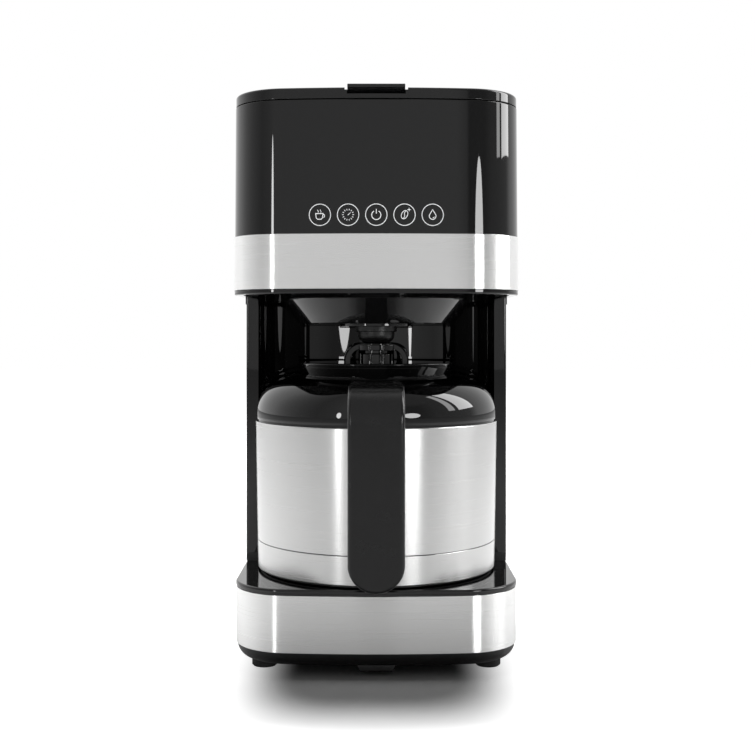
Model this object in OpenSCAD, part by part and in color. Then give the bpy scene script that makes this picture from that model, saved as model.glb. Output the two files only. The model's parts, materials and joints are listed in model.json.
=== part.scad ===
// Drip coffee maker with a brushed-steel thermal jug.
// Millimetres, Z up, front towards -Y. The origin is on the surface that the
// machine stands on, under the middle of the machine with its jug in place.

/* [Body] */
// Depth of the body from its front to its back
body_depth = 215; // [208:1:230]
// How far the head overhangs the base at each side
head_over = 1.4; // [1:0.1:2]
// Radius of the shallow bow across the front
bow_r = 520; // [400:10:700]
// Radius of the two front corners
corner_r = 34; // [28:1:40]
// Radius of the two rear corners
rear_r = 22; // [16:1:28]
// Wall of the plastic housings
wall = 2.4; // [2:0.1:2.8]
// Thickness of the brushed-steel bands
band_t = 0.7; // [0.5:0.1:0.9]
// How far the bands stop short of the back
band_stop = 30; // [26:1:40]

/* [Base] */
// Height of the rubber feet below the floor of the base
foot_h = 6; // [5:0.5:8]
// Radius of a rubber foot
foot_r = 7.5; // [6:0.5:9]
// Distance of the feet inside the sides of the base
foot_side = 17.4; // [16:0.2:24]
// Distance of the front feet behind the front
foot_front = 32; // [30:1:40]
// Distance of the rear feet before the back
foot_back = 30; // [26:1:40]
// Radius of the skirt where it turns under
skirt_r = 8.3; // [7:0.1:9]
// Height of the steel band of the base
base_band_h = 32.6; // [31:0.2:40]
// Dark gap between the band and the lip
lip_gap = 1.1; // [0.8:0.1:2]
// Height of the glossy lip
lip_h = 2.5; // [2.2:0.1:4]
// Rounding of the lip's upper edge
lip_round = 1.2; // [0.6:0.1:1.6]
// Width of the lug under the front, at its foot
lug_w = 19; // [14:1:26]
// Height of the lug below the floor of the base
lug_h = 3.3; // [2:0.1:4]

/* [Column] */
// Distance of the cheeks behind the front
cheek_setback = 91; // [88:1:96]
// How far the sides of the column stand outside the recess wall
cheek_out = 4.2; // [3.6:0.1:6]
// Height of the collar at the foot of the column
foot_collar_h = 5.4; // [4:0.2:8]
// Height of the collar at the head of the column
head_collar_h = 3.8; // [3:0.2:6]
// How far the lower collar stands back
foot_collar_in = 0.2; // [0.15:0.05:0.3]
// How far the upper collar stands proud
collar_proud = 0.6; // [0.4:0.1:1]
// Free space between the jug and the recess
recess_gap = 1.8; // [1.4:0.1:2.2]
// Wall of the recess
recess_t = 2; // [1.6:0.1:2.2]
// Width of the level window
window_w = 8; // [6:1:12]
// Height of the level window
window_h = 124; // [90:2:130]

/* [Head] */
// Height of the black rim under the head
rim_h = 2.9; // [2.4:0.1:4]
// Height of the steel band of the head
head_band_h = 31.2; // [26:0.2:36]
// Height of the glossy panel above the band
panel_h = 76.4; // [74:0.2:84]
// How far the panel leans in from the band to its top
panel_draft = 0.5; // [0.2:0.1:1]
// Seam between the panel and the lid
seam = 0.5; // [0.4:0.1:0.8]
// Depth of the inner deck below the top of the panel
deck_drop = 13.1; // [12.6:0.1:16]
// Space between the funnel's rim and the wall of the head
funnel_gap = 4.8; // [4:0.1:6]
// How far the funnel's lower lip lies inside its top
lip_step = 7.2; // [6:0.1:9]
// How far the funnel's cone draws in from its lip to its foot
cone_slope = 10.1; // [8:0.1:14]
// Height of the funnel's cone
cone_h = 15.2; // [13:0.1:17]
// Wall of the funnel and the basket
bowl_t = 2; // [1.6:0.1:2.2]

/* [Lid] */
// Thickness of the machine's lid at its edge
lid_h = 6.4; // [6:0.1:8]
// Thickness of the lid's skin
lid_skin = 2.2; // [1.8:0.1:2.4]
// Distance of the hinge before the back
hinge_back = 20; // [18:1:24]
// Radius of a hinge pin
pin_r = 1.5; // [1.2:0.1:1.8]
// Distance from the middle plane to a hinge lug
lug_x = 54; // [44:1:60]
// Width of a hinge lug
hinge_lug_w = 8; // [6:0.5:10]
// Width of the thumb tab
tab_w = 30; // [26:1:34]
// How far the thumb tab stands above the lid
tab_rise = 1.1; // [0.6:0.1:2]
// How far the thumb tab reaches in front of the body
tab_reach = 2.5; // [1:0.5:4]

/* [Jug] */
// Radius of the steel jug at its shoulder
jug_r = 75.4; // [72:0.1:78]
// How far the jug stands behind the front of the body
jug_in = 0.2; // [0:0.1:2]
// How much the steel narrows from the shoulder to the seam
jug_taper = 1.1; // [0.4:0.1:1.6]
// Thickness of the jug's steel
steel_t = 0.8; // [0.6:0.1:1]
// Height of the black foot ring
foot_ring_h = 2.9; // [2.4:0.1:4]
// Height of the steel cup under the seam
cup_h = 14.2; // [12:0.2:18]
// Height of the steel shell above the seam
shell_h = 74.2; // [66:0.2:84]
// Height of the glossy shoulder from the steel to its rim
shoulder_h = 36.1; // [35:0.1:38]
// Rounding of the shoulder's outer curve
dome_r = 22; // [20:0.5:24]
// Width of the shoulder from the steel to the neck
shoulder_w = 25.4; // [24:0.2:27]
// Wall of the neck round the jug's lid
neck_wall = 2; // [1.6:0.1:2.4]
// Radius of the grip ring of the lid's knob
knob_r = 13; // [12:0.5:14]
// Height of the knob above the lid
knob_h = 11.6; // [11:0.1:13]
// Flutes round the knob
flutes = 9; // [7:2:13]
// Thickness of the jug's plastic
shoulder_t = 2.4; // [2:0.1:2.8]

/* [Handle] */
// How far the handle reaches in front of the body
handle_reach = 45; // [40:1:50]
// Width of the handle
handle_w = 30.6; // [26:0.2:34]
// Thickness of the grip
grip_t = 14; // [12:0.5:18]
// Thickness of the inner cover of the grip
grip_back_t = 4; // [3:0.5:5]
// Height of the handle's top above the shell
handle_rise = 26.3; // [24:0.1:27]
// Height of the handle from its top to its tip
handle_h = 110.6; // [100:0.2:112]
// Bend where the neck turns down into the grip
handle_bend_r = 20; // [16:1:24]
// Rounding of the handle's outer edges
handle_edge_r = 2.2; // [1:0.1:3]

/* [Drip stop] */
// Height of the plunger's cap
cap_h = 7; // [6:0.1:9]
// Drop of the plunger when the jug is away
valve_travel = 3; // [2:0.2:3.6]
// Radius of the plunger's stem
stem_r = 2.4; // [2:0.1:2.8]
// Radius of the spring's wire
wire_r = 0.45; // [0.35:0.05:0.55]
// Turns of the spring
spring_turns = 6; // [4:1:8]

/* [Water] */
// Outer radius of the hoses
hose_r = 4.5; // [4:0.1:5]
// Bore radius of the hoses
hose_bore = 3; // [2.5:0.1:3.2]
// Wall of the water tank
tank_t = 2; // [1.6:0.1:2.4]
// Height of the heater's pipe above the standing surface
heater_z = 29; // [26:1:30]

/* [Hidden] */
corner_steps = 12;

$fn = 96;
slip = 0.05;   // radial clearance of a running fit
play = 0.3;    // free space between pieces that move past each other
far = 400;     // longer than anything in the machine
eps = 0.01;

// Main planes across the depth
front_y = (handle_reach - body_depth) / 2;
rear_y = front_y + body_depth;
cheek_y = front_y + cheek_setback;
jug_y = front_y + jug_in + jug_r;
band_end_y = rear_y - band_stop;

// Main heights
floor_z = foot_h;
band_z = floor_z + skirt_r;
lip_z = band_z + base_band_h + lip_gap;
plate_z = lip_z + lip_h;

// Seats of the skins and bands, measured inwards from the outlines
base_band_in = 0.3;
base_wall_in = base_band_in + band_t;
head_wall_in = band_t + 0.1;
lid_in = 1.5;

// Widths, from the jug outwards
recess_r = jug_r + recess_gap;
recess_out = recess_r + recess_t;
base_half = recess_out + cheek_out;
head_half = base_half + head_over;

// Outlines: half width, front, back, bow radius, front corner radius, rear corner radius
head_line = [head_half, front_y, rear_y, bow_r, corner_r, rear_r];
base_line = [base_half, front_y, rear_y, bow_r, corner_r, rear_r];

// Jug heights
jug_z = plate_z + play;
cup_z = jug_z + foot_ring_h;
jug_seam_z = cup_z + cup_h;
shoulder_z = jug_seam_z + shell_h;
dome_z = shoulder_z + 4.9;
jug_top_z = shoulder_z + shoulder_h;
knob_z = jug_top_z + knob_h;

// Heights of the drip stop, the funnel and the head, which stand over the jug
cap_z = knob_z + 0.5;
guide_z = cap_z + cap_h + play;
cone_z = guide_z + 4.4;
funnel_z = cone_z + cone_h;
head_z = funnel_z + 1.4;
head_band_z = head_z + rim_h;
panel_z = head_band_z + head_band_h;
shell_top_z = panel_z + panel_h;
lid_z = shell_top_z + seam;
top_z = lid_z + lid_h;
deck_z = shell_top_z - deck_drop;

// Funnel
funnel_rim = 2.6;
funnel_r = jug_r + jug_in - head_wall_in - panel_draft - wall - funnel_gap - funnel_rim;
funnel_lip_r = funnel_r - lip_step;
cone_foot_r = funnel_lip_r - cone_slope;
floor_drop = 1.9;
basket_z = deck_z - 8;
guide_r = 13;
web_z = cone_z + 2.6;
web_t = 2;
seal_r = 6.6;
seal_t = 1.6;

// Column and tank
column_z = plate_z + foot_collar_h;
column_top = head_z - head_collar_h;
tank_gap = 1;
tank_front = 42;
tank_z = column_z + 4;
ledge_z = deck_z - wall;
tank_top = ledge_z - 5.5;
fill_front = jug_y + funnel_r + 8;
window_y = rear_y - rear_r - window_w - 4;
window_z = column_z + (column_top - column_z - window_h) / 2;

// Heater and hoses
heater_r = 5;
nipple_r = hose_bore - slip;
riser_x = wall + hose_r + 3.5 - base_half;
riser_y = jug_y + 50;
supply_x = base_half - 43.4;
supply_y = riser_y + 36;
elbow_r = 15;
hose_reach = 8;
heater_back = elbow_r + hose_reach;
bend_r = 30;
heater_front = jug_y - 32;
element_r = 3.2;
cord_x = 33.4 - base_half;
cord_z = 25;
gland_r = 6.5;
gland_bore = 3.5;
gland_flange = 1.4;
gland_l = 9;

// Hinge of the lid
hinge_y = rear_y - hinge_back;
hinge_z = lid_z + lid_h / 2;
knuckle_r = lid_h / 2;
cap_gap = 0.8;

// Shoulder, lid and liner of the jug
neck_r = jug_r - shoulder_w;
jug_lid_r = neck_r - neck_wall;
dome_out = jug_r - 0.65;
skirt_in = 0.8;
crown_r = 36;
crown_angle = 58;
dome_x = dome_out - dome_r;
crown_x = dome_x - (crown_r - dome_r) * cos(crown_angle);
crown_z = dome_z - (crown_r - dome_r) * sin(crown_angle);
neck_z = crown_z + sqrt(pow(crown_r, 2) - pow(neck_r - crown_x, 2));
lid_edge_t = 2.6;
plug_r = jug_lid_r - 7;
plug_h = 16;
seal_reach = 2.4;
plug_floor = 2;
groove = 1.2;
valve_hole_r = 9;
under_z = jug_top_z - lid_edge_t;
plug_z = under_z - plug_h;
liner_lip_z = under_z - 4.2;
liner_r = jug_r - 5;
liner_z = cup_z + 5;

// Handle
handle_y = front_y - handle_reach;
handle_top = shoulder_z + handle_rise;
grip_z = handle_top - handle_h;

// ---------- outlines and sweeps ----------

function corner_x(o) = o[0] - o[4];
function bow_angle(o) = asin(corner_x(o) / (o[3] - o[4]));
function bow_y(o) = o[1] + o[3];
function corner_y(o) = bow_y(o) - (o[3] - o[4]) * cos(bow_angle(o));
function rear_corner_y(o) = o[2] - o[5];

// Area inside an outline, drawn in by inset
module outline_area(o, inset = 0) {
    bow_x = (o[3] + 20) * tan(bow_angle(o));
    intersection() {
        translate([0, bow_y(o)]) circle(o[3] - inset, $fn = 720);
        polygon([[-corner_x(o), corner_y(o)], [corner_x(o), corner_y(o)],
            [bow_x, o[1] - 20], [-bow_x, o[1] - 20]]);
    }
    for (side = [-1, 1]) {
        translate([side * corner_x(o), corner_y(o)]) circle(o[4] - inset);
        translate([side * (o[0] - o[5]), rear_corner_y(o)]) circle(o[5] - inset);
    }
    translate([inset - o[0], corner_y(o)])
        square([2 * (o[0] - inset), rear_corner_y(o) - corner_y(o)]);
    translate([o[5] - o[0], corner_y(o)])
        square([2 * (o[0] - o[5]), o[2] - inset - corner_y(o)]);
}

// Band between two outlines, drawn in by outer_in and inner_in
module outline_band(o, outer_in, inner_in) {
    difference() {
        outline_area(o, outer_in);
        outline_area(o, inner_in);
    }
}

// Half plane behind a line across the depth
module behind(y) {
    translate([-far / 2, y]) square([far, far]);
}

// Points of an arc round c, from angle a to angle b
function arc(c, r, a, b, steps) =
    [for (i = [0 : steps]) let (t = a + (b - a) * i / steps) c + r * [cos(t), sin(t)]];

// Stations of an arc of an outline: [centre, radius, angle]
function stations(c, r, a, b, steps, first = 0) =
    [for (i = [first : steps]) [c, r, a + (b - a) * i / steps]];

// All stations of an outline, counter-clockwise from the left end of the bow
function outline_stations(o) = let (turn = bow_angle(o), front = [corner_x(o), corner_y(o)],
    back = [o[0] - o[5], rear_corner_y(o)]) concat(
        stations([0, bow_y(o)], o[3], -90 - turn, turn - 90, 8),
        stations(front, o[4], turn - 90, 0, corner_steps, 1),
        stations(back, o[5], 0, 90, corner_steps),
        stations([-back[0], back[1]], o[5], 90, 180, corner_steps),
        [for (s = stations([-front[0], front[1]], o[4], 180, 270 - turn, corner_steps))
            if (s[2] < 269.9 - turn) s]);

// Ring with the given section, carried all round an outline.
// In the section x is measured outwards from the outline, y is the height.
module outline_ring(o, section) {
    path = outline_stations(o);
    n = len(path);
    m = len(section);
    points = [for (s = path, p = section)
        [s[0][0] + (s[1] + p[0]) * cos(s[2]), s[0][1] + (s[1] + p[0]) * sin(s[2]), p[1]]];
    polyhedron(points, [for (i = [0 : n - 1], k = [0 : m - 1]) let (j = (i + 1) % n, l = (k + 1) % m)
        [i * m + k, i * m + l, j * m + l, j * m + k]]);
}

// ---------- small shapes ----------

module at_jug(z = 0) {
    translate([0, jug_y, z]) children();
}

module tube(r_out, r_in, h) {
    difference() {
        cylinder(r = r_out, h = h);
        translate([0, 0, -1]) cylinder(r = r_in, h = h + 2);
    }
}

// Pan-head screw pointing up, its head's underside at z = 0
module screw(shank_r, length, head_r) {
    head_h = head_r * 0.7;
    difference() {
        union() {
            cylinder(r = shank_r, h = length);
            translate([0, 0, -head_h]) cylinder(r = head_r, h = head_h);
        }
        for (turn = [0, 90]) rotate(turn)
            translate([-head_r * 0.6, -0.4, -head_h - 1]) cube([head_r * 1.2, 0.8, 1 + head_h / 2]);
    }
}

// Quarter bend of a pipe: starts along +Y at the origin and turns up to +Z
module pipe_bend(r_out, r_in, bend) {
    translate([0, 0, bend]) rotate([0, 90, 0])
        rotate_extrude(angle = 90) translate([bend, 0]) difference() {
            circle(r_out);
            circle(r_in);
        }
}

// Vertical hose that turns forward at its foot
module hose(x, y, foot_z, top_z) {
    translate([x, y, foot_z + elbow_r]) tube(hose_r, hose_bore, top_z - foot_z - elbow_r);
    translate([x, y - elbow_r, foot_z]) pipe_bend(hose_r, hose_bore, elbow_r);
    translate([x, y - elbow_r, foot_z]) rotate([90, 0, 0]) tube(hose_r, hose_bore, hose_reach);
}

module foot_places() {
    for (side = [-1, 1], y = [front_y + foot_front, rear_y - foot_back])
        translate([side * (base_half - foot_side), y, 0]) children();
}

// Screw posts: the front pair lies inside the rounded corners, the rear pair near them
module post_places() {
    front_in = 35.4;
    rear_in = 23.4;
    for (side = [-1, 1]) {
        translate([side * (base_half - front_in), front_y + 19, 0]) children();
        translate([side * (base_half - rear_in), rear_y - 14, 0]) children();
    }
}

// ---------- base ----------

stem_h = 2;
post_r = 4;
base_screw_r = 1.5;
base_screw_l = 14;
screw_head_r = 3;
screw_pocket = 3;

module rubber_feet() {
    color("#1b1b1b") foot_places() rotate_extrude()
        polygon([[0, 0], [foot_r - 0.9, 0], [foot_r, 0.9], [foot_r, foot_h],
            [foot_r - 2.5, foot_h], [foot_r - 2.5, foot_h + stem_h], [0, foot_h + stem_h]]);
}

// Skirt in section: a quarter round that turns under into the floor, and a tongue behind the wall
function skirt_section() = let (inner_r = skirt_r - wall, mid = [-base_wall_in - skirt_r, band_z],
    tongue = skirt_r - wall - 0.2) concat(
        arc(mid, skirt_r, -90, 0, 6),
        [mid + [tongue, 0], mid + [tongue, 4], mid + [tongue - wall, 4]],
        arc(mid, inner_r, -acos((tongue - wall) / inner_r), -90, 3),
        [mid + [-3, wall - skirt_r], mid + [-3, -skirt_r]]);

module front_lug() {
    slope = 2;
    back = 12;
    translate([0, front_y + skirt_r - 1.5 + back, floor_z + wall / 2]) rotate([90, 0, 0])
        linear_extrude(back) polygon([[-lug_w / 2, -lug_h - wall / 2], [lug_w / 2, -lug_h - wall / 2],
            [lug_w / 2 + slope, 0], [-lug_w / 2 - slope, 0]]);
}

module bottom_cover() {
    vents = 9;
    pitch = 7;
    vent = [2, 26];
    vent_y = rear_y - 60;
    color("#161616") difference() {
        union() {
            outline_ring(base_line, skirt_section());
            translate([0, 0, floor_z]) linear_extrude(wall)
                outline_area(base_line, base_wall_in + skirt_r + 1.5);
            front_lug();
            post_places() translate([0, 0, floor_z]) cylinder(r = post_r, h = screw_pocket + wall);
        }
        foot_places() translate([0, 0, floor_z - 1]) cylinder(r = foot_r - 2.5 + slip, h = wall + 2);
        post_places() {
            translate([0, 0, floor_z - 1]) cylinder(r = screw_head_r + 0.2, h = screw_pocket + 1);
            cylinder(r = base_screw_r + 0.2, h = far);
        }
        for (i = [0 : vents - 1])
            translate([(i - (vents - 1) / 2) * pitch - vent[0] / 2, vent_y, floor_z - 1])
                cube([vent[0], vent[1], wall + 2]);
    }
}

module cover_screws() {
    color("silver") post_places() translate([0, 0, floor_z + screw_pocket])
        screw(base_screw_r, base_screw_l, screw_head_r - 0.1);
}

module base_band() {
    color("silver") translate([0, 0, band_z]) linear_extrude(base_band_h) difference() {
        outline_band(base_line, base_band_in, base_wall_in);
        behind(band_end_y);
    }
}

function lip_section() = concat([[-6, lip_z], [0, lip_z]],
    arc([-lip_round, plate_z - lip_round], lip_round, 0, 90, 4), [[-6, plate_z]]);

// Plan of the column: cheeks, recess wall and outer wall
module column_plan(proud) {
    difference() {
        union() {
            intersection() {
                difference() {
                    outline_area(base_line, -proud);
                    outline_area(base_line, wall);
                }
                behind(cheek_y);
            }
            intersection() {
                difference() {
                    translate([0, jug_y]) circle(recess_out);
                    translate([0, jug_y]) circle(recess_r);
                }
                behind(cheek_y);
            }
            cheek_plan(proud);
        }
        translate([0, jug_y]) circle(recess_r);
    }
}

// The two cheeks in plan, with their outer corners rounded
module cheek_plan(proud = 0) {
    round_r = wall / 2;
    difference() {
        for (side = [-1, 1]) {
            x_out = base_half + proud;
            translate([side * (x_out - round_r), cheek_y - proud + round_r]) circle(round_r);
            translate([side > 0 ? recess_r * 0.9 : round_r - x_out, cheek_y - proud])
                square([x_out - round_r - recess_r * 0.9, wall + proud]);
            translate([side > 0 ? recess_r * 0.9 : -x_out, cheek_y - proud + round_r])
                square([x_out - recess_r * 0.9, wall + proud - round_r]);
        }
        translate([0, jug_y]) circle(recess_r);
    }
}

// Inside of the column behind the recess
module shaft_area(gap) {
    intersection() {
        difference() {
            outline_area(base_line, wall + gap);
            translate([0, jug_y]) circle(recess_out + gap);
        }
        behind(jug_y + tank_front + gap);
    }
}

module base_cover() {
    color("#101010") difference() {
        union() {
            translate([0, 0, band_z]) linear_extrude(lip_z - band_z + 1) {
                outline_band(base_line, base_wall_in, base_wall_in + wall);
                intersection() {
                    outline_band(base_line, base_band_in, base_wall_in + 1);
                    behind(band_end_y);
                }
            }
            outline_ring(base_line, lip_section());
            translate([0, 0, lip_z]) linear_extrude(lip_h) outline_area(base_line, 5);
            post_places() translate([0, 0, floor_z + screw_pocket + wall])
                cylinder(r = post_r, h = lip_z - floor_z - screw_pocket - wall + 1);
        }
        translate([riser_x, riser_y, lip_z - 1]) cylinder(r = hose_r + 0.5, h = lip_h + 2);
        translate([supply_x, supply_y, lip_z - 1]) cylinder(r = valve_r + 0.5, h = lip_h + 2);
        post_places() cylinder(r = base_screw_r, h = lip_z - 2);
        translate([cord_x, rear_y + 1, cord_z]) rotate([90, 0, 0]) {
            cylinder(r = gland_r, h = wall + 5);
            cylinder(r = gland_r + 2 + slip, h = 1 + base_band_in + gland_flange);
        }
    }
}

// Collar on which the column stands
module foot_collar() {
    color("#111111") translate([0, 0, plate_z]) linear_extrude(foot_collar_h) column_plan(-foot_collar_in);
}

// Bush for the mains lead, sunk flush into the back
module cord_gland() {
    color("#222222") translate([cord_x, rear_y - base_band_in, cord_z]) rotate([90, 0, 0]) difference() {
        union() {
            cylinder(r = gland_r + 2, h = gland_flange);
            cylinder(r = gland_r - slip, h = gland_l);
        }
        translate([0, 0, -1]) cylinder(r = gland_bore, h = gland_l + 2);
    }
}

// ---------- heating and water ----------

// Route of the heater in plan: up one leg, across the front and back along the other
module heater_route() {
    right_x = supply_x;
    left_x = riser_x;
    leg_y = heater_front + bend_r;
    translate([right_x, supply_y - heater_back, 0]) rotate([90, 0, 0])
        linear_extrude(supply_y - heater_back - leg_y) children();
    translate([left_x, riser_y - heater_back, 0]) rotate([90, 0, 0])
        linear_extrude(riser_y - heater_back - leg_y) children();
    translate([right_x - bend_r, leg_y, 0]) rotate(-90)
        rotate_extrude(angle = 90) translate([bend_r, 0]) children();
    translate([left_x + bend_r, leg_y, 0]) rotate(180)
        rotate_extrude(angle = 90) translate([bend_r, 0]) children();
    translate([left_x + bend_r, heater_front, 0]) rotate([90, 0, 90])
        linear_extrude(right_x - left_x - 2 * bend_r) children();
}

heater_bore = 2.2;
heater_web = 1.4;

module flow_heater() {
    nipple = hose_reach - 1;
    web_w = 4;
    color("#b8bcc0") translate([0, 0, heater_z]) {
        heater_route() difference() {
            union() {
                circle(heater_r);
                translate([-web_w / 2, -heater_r - heater_web]) square([web_w, heater_r]);
            }
            circle(heater_bore);
        }
        for (end = [[supply_x, supply_y], [riser_x, riser_y]])
            translate([end[0], end[1] - heater_back + nipple, 0]) rotate([90, 0, 0])
                tube(nipple_r, heater_bore, nipple + 1);
    }
}

module heating_element() {
    color("#8d8f92") translate([0, 0, heater_z - heater_r - heater_web - element_r])
        heater_route() circle(element_r);
}

module heater_clamps() {
    base_z = floor_z + wall;
    strap = 1.2;
    clamp_w = 8;
    spacing = 35;
    half_w = heater_r + 1;
    top = heater_z + heater_r + strap;
    middle = (supply_x + riser_x) / 2 + 4;
    color("#c9ccd0") for (x = [middle - spacing / 2, middle + spacing / 2]) translate([x, heater_front, 0])
        difference() {
        translate([-clamp_w / 2, -half_w - strap, base_z])
            cube([clamp_w, 2 * (half_w + strap), top - base_z]);
        translate([-clamp_w, -half_w, base_z - 1]) cube([2 * clamp_w, 2 * half_w, top - base_z + 1 - strap]);
    }
}

module thermostat() {
    can = [7, 4];
    cap = [4.5, 5];
    tag = [0.8, 3, 5];
    color("#5b4636") translate([(supply_x + riser_x) / 2, heater_front, heater_z + heater_r])
        union() {
            cylinder(r = can[0], h = can[1]);
            translate([0, 0, can[1]]) cylinder(r = cap[0], h = cap[1]);
            for (side = [-1, 1])
                translate([side * tag[1] - tag[0] / 2, -tag[1] / 2, can[1] + cap[1]]) cube(tag);
        }
}

module power_board() {
    board = [64, 78, 1.6];
    post = 2.5;
    edge = 4;
    base_z = floor_z + wall;
    board_z = base_z + 4;
    relay = [19, 16, 16];
    supply = [24, 20, 18];
    capacitor = [6, 17];
    plug = [20, 14, 11];
    relay_at = [8, 8];
    supply_at = [34, 12];
    capacitor_at = [12, 48];
    plug_at = [40, 50];
    color("#1f5a36") translate([supply_x - 80, jug_y - 8, 0]) union() {
        translate([0, 0, board_z]) cube(board);
        for (x = [edge, board[0] - edge], y = [edge, board[1] - edge])
            translate([x, y, base_z]) cylinder(r = post, h = board_z - base_z + 1);
        translate(concat(relay_at, board_z + 1)) cube(relay);
        translate(concat(supply_at, board_z + 1)) cube(supply);
        translate(concat(capacitor_at, board_z + 1)) cylinder(r = capacitor[0], h = capacitor[1]);
        translate(concat(plug_at, board_z + 1)) cube(plug);
    }
}

module supply_hose() {
    color("#d8d8d0") hose(supply_x, supply_y, heater_z, plate_z - 1);
}

valve_r = 6.5;
outlet_r = 4;

// Check valve between the tank's outlet and the hose
module check_valve() {
    seat = 4;
    bore = 1.8;
    color("#c8c8c0") translate([supply_x, supply_y, plate_z - 1]) difference() {
        union() {
            translate([0, 0, 1 - hose_reach]) cylinder(r = nipple_r, h = hose_reach);
            cylinder(r = valve_r, h = tank_z - plate_z + 1);
        }
        translate([0, 0, -hose_reach]) cylinder(r = bore, h = far);
        translate([0, 0, seat]) cylinder(r = outlet_r + slip, h = far);
    }
}

module riser_hose() {
    color("#d8d8d0") hose(riser_x, riser_y, heater_z, deck_z - wall - 4);
}

// Nozzle in the deck that sends the hot water up into the lid
module riser_nozzle() {
    color("#1c1c1c") translate([riser_x, riser_y, 0]) difference() {
        union() {
            translate([0, 0, deck_z - wall - 12]) cylinder(r = nipple_r, h = 14);
            translate([0, 0, deck_z - wall - 4]) cylinder(r = hose_r + 1, h = 4);
            translate([0, 0, deck_z - wall - 1]) cylinder(r = hose_r - slip, h = wall + 5.5);
        }
        translate([0, 0, deck_z - wall - 13]) cylinder(r = 2, h = far);
    }
}

module water_tank() {
    outlet_h = 6;
    color("#4a5560") difference() {
        union() {
            translate([0, 0, tank_z]) linear_extrude(tank_top - tank_z) shaft_area(tank_gap);
            translate([supply_x, supply_y, tank_z - outlet_h + 1]) cylinder(r = outlet_r, h = outlet_h);
        }
        translate([0, 0, tank_z + tank_t]) linear_extrude(far) difference() {
            shaft_area(tank_gap + tank_t);
            translate([riser_x, riser_y]) circle(hose_r + 0.1 + tank_t);
        }
        translate([riser_x, riser_y, tank_z - 1]) cylinder(r = hose_r + 0.1, h = far);
        translate([supply_x, supply_y, tank_z - outlet_h]) cylinder(r = outlet_r - 1.5, h = outlet_h + 5);
    }
}

// ---------- column ----------

module column_front() {
    color("#121212") translate([0, 0, column_z]) linear_extrude(column_top - column_z) {
        cheek_plan();
        intersection() {
            difference() {
                translate([0, jug_y]) circle(recess_out);
                translate([0, jug_y]) circle(recess_r);
            }
            behind(cheek_y);
        }
    }
}

module rear_housing() {
    color("#141414") difference() {
        translate([0, 0, column_z]) linear_extrude(column_top - column_z) intersection() {
            outline_band(base_line, 0, wall);
            behind(cheek_y + wall);
        }
        translate([base_half - wall - 1, window_y, window_z]) cube([wall + 2, window_w, window_h]);
    }
}

module level_window() {
    color("#9fb4c0") translate([base_half - wall - tank_gap + 0.2, window_y + slip, window_z + slip])
        cube([wall + tank_gap - 0.4, window_w - 2 * slip, window_h - 2 * slip]);
}

// ---------- head ----------

function rim_section() = let (edge_in = 0.5, edge_r = 1) concat(
    [[-6, head_z]], arc([-edge_in - edge_r, head_z + edge_r], edge_r, -90, 0, 4),
    [[-edge_in, head_band_z], [-6, head_band_z]]);

module head_floor() {
    color("#121212") difference() {
        union() {
            outline_ring(head_line, rim_section());
            translate([0, 0, head_z + floor_drop]) linear_extrude(wall) outline_area(head_line, 5);
            translate([0, 0, column_top]) linear_extrude(head_collar_h + floor_drop + 1)
                column_plan(collar_proud);
        }
        at_jug(head_z - 10) cylinder(r = funnel_lip_r + 0.4, h = 20);
        translate([0, 0, head_z - 1]) linear_extrude(floor_drop + wall + 2) shaft_area(tank_gap - 0.6);
    }
}

module head_band() {
    color("silver") translate([0, 0, head_band_z]) linear_extrude(head_band_h) difference() {
        outline_band(head_line, 0, band_t);
        behind(band_end_y);
    }
}

// Wall of the head: upright behind the band, leaning in above it, with a ledge for the deck
function head_wall_section() = let (in = head_wall_in, top_in = head_wall_in + panel_draft,
    foot_z = ledge_z - 5) [[-in, head_band_z], [-in, panel_z], [-top_in, shell_top_z],
        [-top_in - wall, shell_top_z], [-top_in - wall, ledge_z], [-top_in - wall - 2.4, ledge_z],
        [-top_in - wall - 2.4, ledge_z - 1.6], [-in - wall, foot_z], [-in - wall, head_band_z]];

module head_shell() {
    color("#0d0d0d") union() {
        outline_ring(head_line, head_wall_section());
        translate([0, 0, head_band_z]) linear_extrude(head_band_h) intersection() {
            outline_band(head_line, 0.1, head_wall_in + 1);
            behind(band_end_y);
        }
    }
}

module inner_deck() {
    top_in = head_wall_in + panel_draft + wall + 0.2;
    collar_h = 9;
    color("#191919") translate([0, 0, ledge_z]) difference() {
        union() {
            linear_extrude(wall) outline_area(head_line, top_in);
            translate([0, 0, -collar_h]) linear_extrude(collar_h + 1) fill_plan(0);
        }
        at_jug(-1) cylinder(r = funnel_r + 0.2, h = wall + 2);
        translate([riser_x, riser_y, -1]) cylinder(r = hose_r, h = wall + 2);
        translate([0, 0, -collar_h - 1]) linear_extrude(far) fill_plan(1.2);
    }
}

// Mouth of the tank in plan, drawn in by inset
module fill_plan(inset) {
    intersection() {
        shaft_area(tank_gap + tank_t + 0.4 + inset);
        difference() {
            behind(fill_front + inset);
            behind(hinge_y - 6 - inset);
        }
    }
}

// Fixed strip behind the lid, with the two hinge lugs
module rear_cap() {
    color("#0f0f0f") difference() {
        union() {
            translate([0, 0, shell_top_z]) linear_extrude(top_z - shell_top_z) intersection() {
                outline_area(head_line, lid_in);
                behind(hinge_y + knuckle_r + cap_gap);
            }
            for (side = [-1, 1]) translate([side * lug_x - hinge_lug_w / 2, hinge_y, hinge_z])
                rotate([90, 0, 90]) linear_extrude(hinge_lug_w) {
                    circle(knuckle_r - 0.2);
                    translate([0, 0.2 - knuckle_r]) square([knuckle_r + cap_gap + 1, 2 * knuckle_r - 0.4]);
                }
        }
        for (side = [-1, 1]) translate([side * lug_x - hinge_lug_w, hinge_y, hinge_z]) rotate([0, 90, 0])
            cylinder(r = pin_r, h = 2 * hinge_lug_w);
    }
}

// ---------- touch controls ----------

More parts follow.
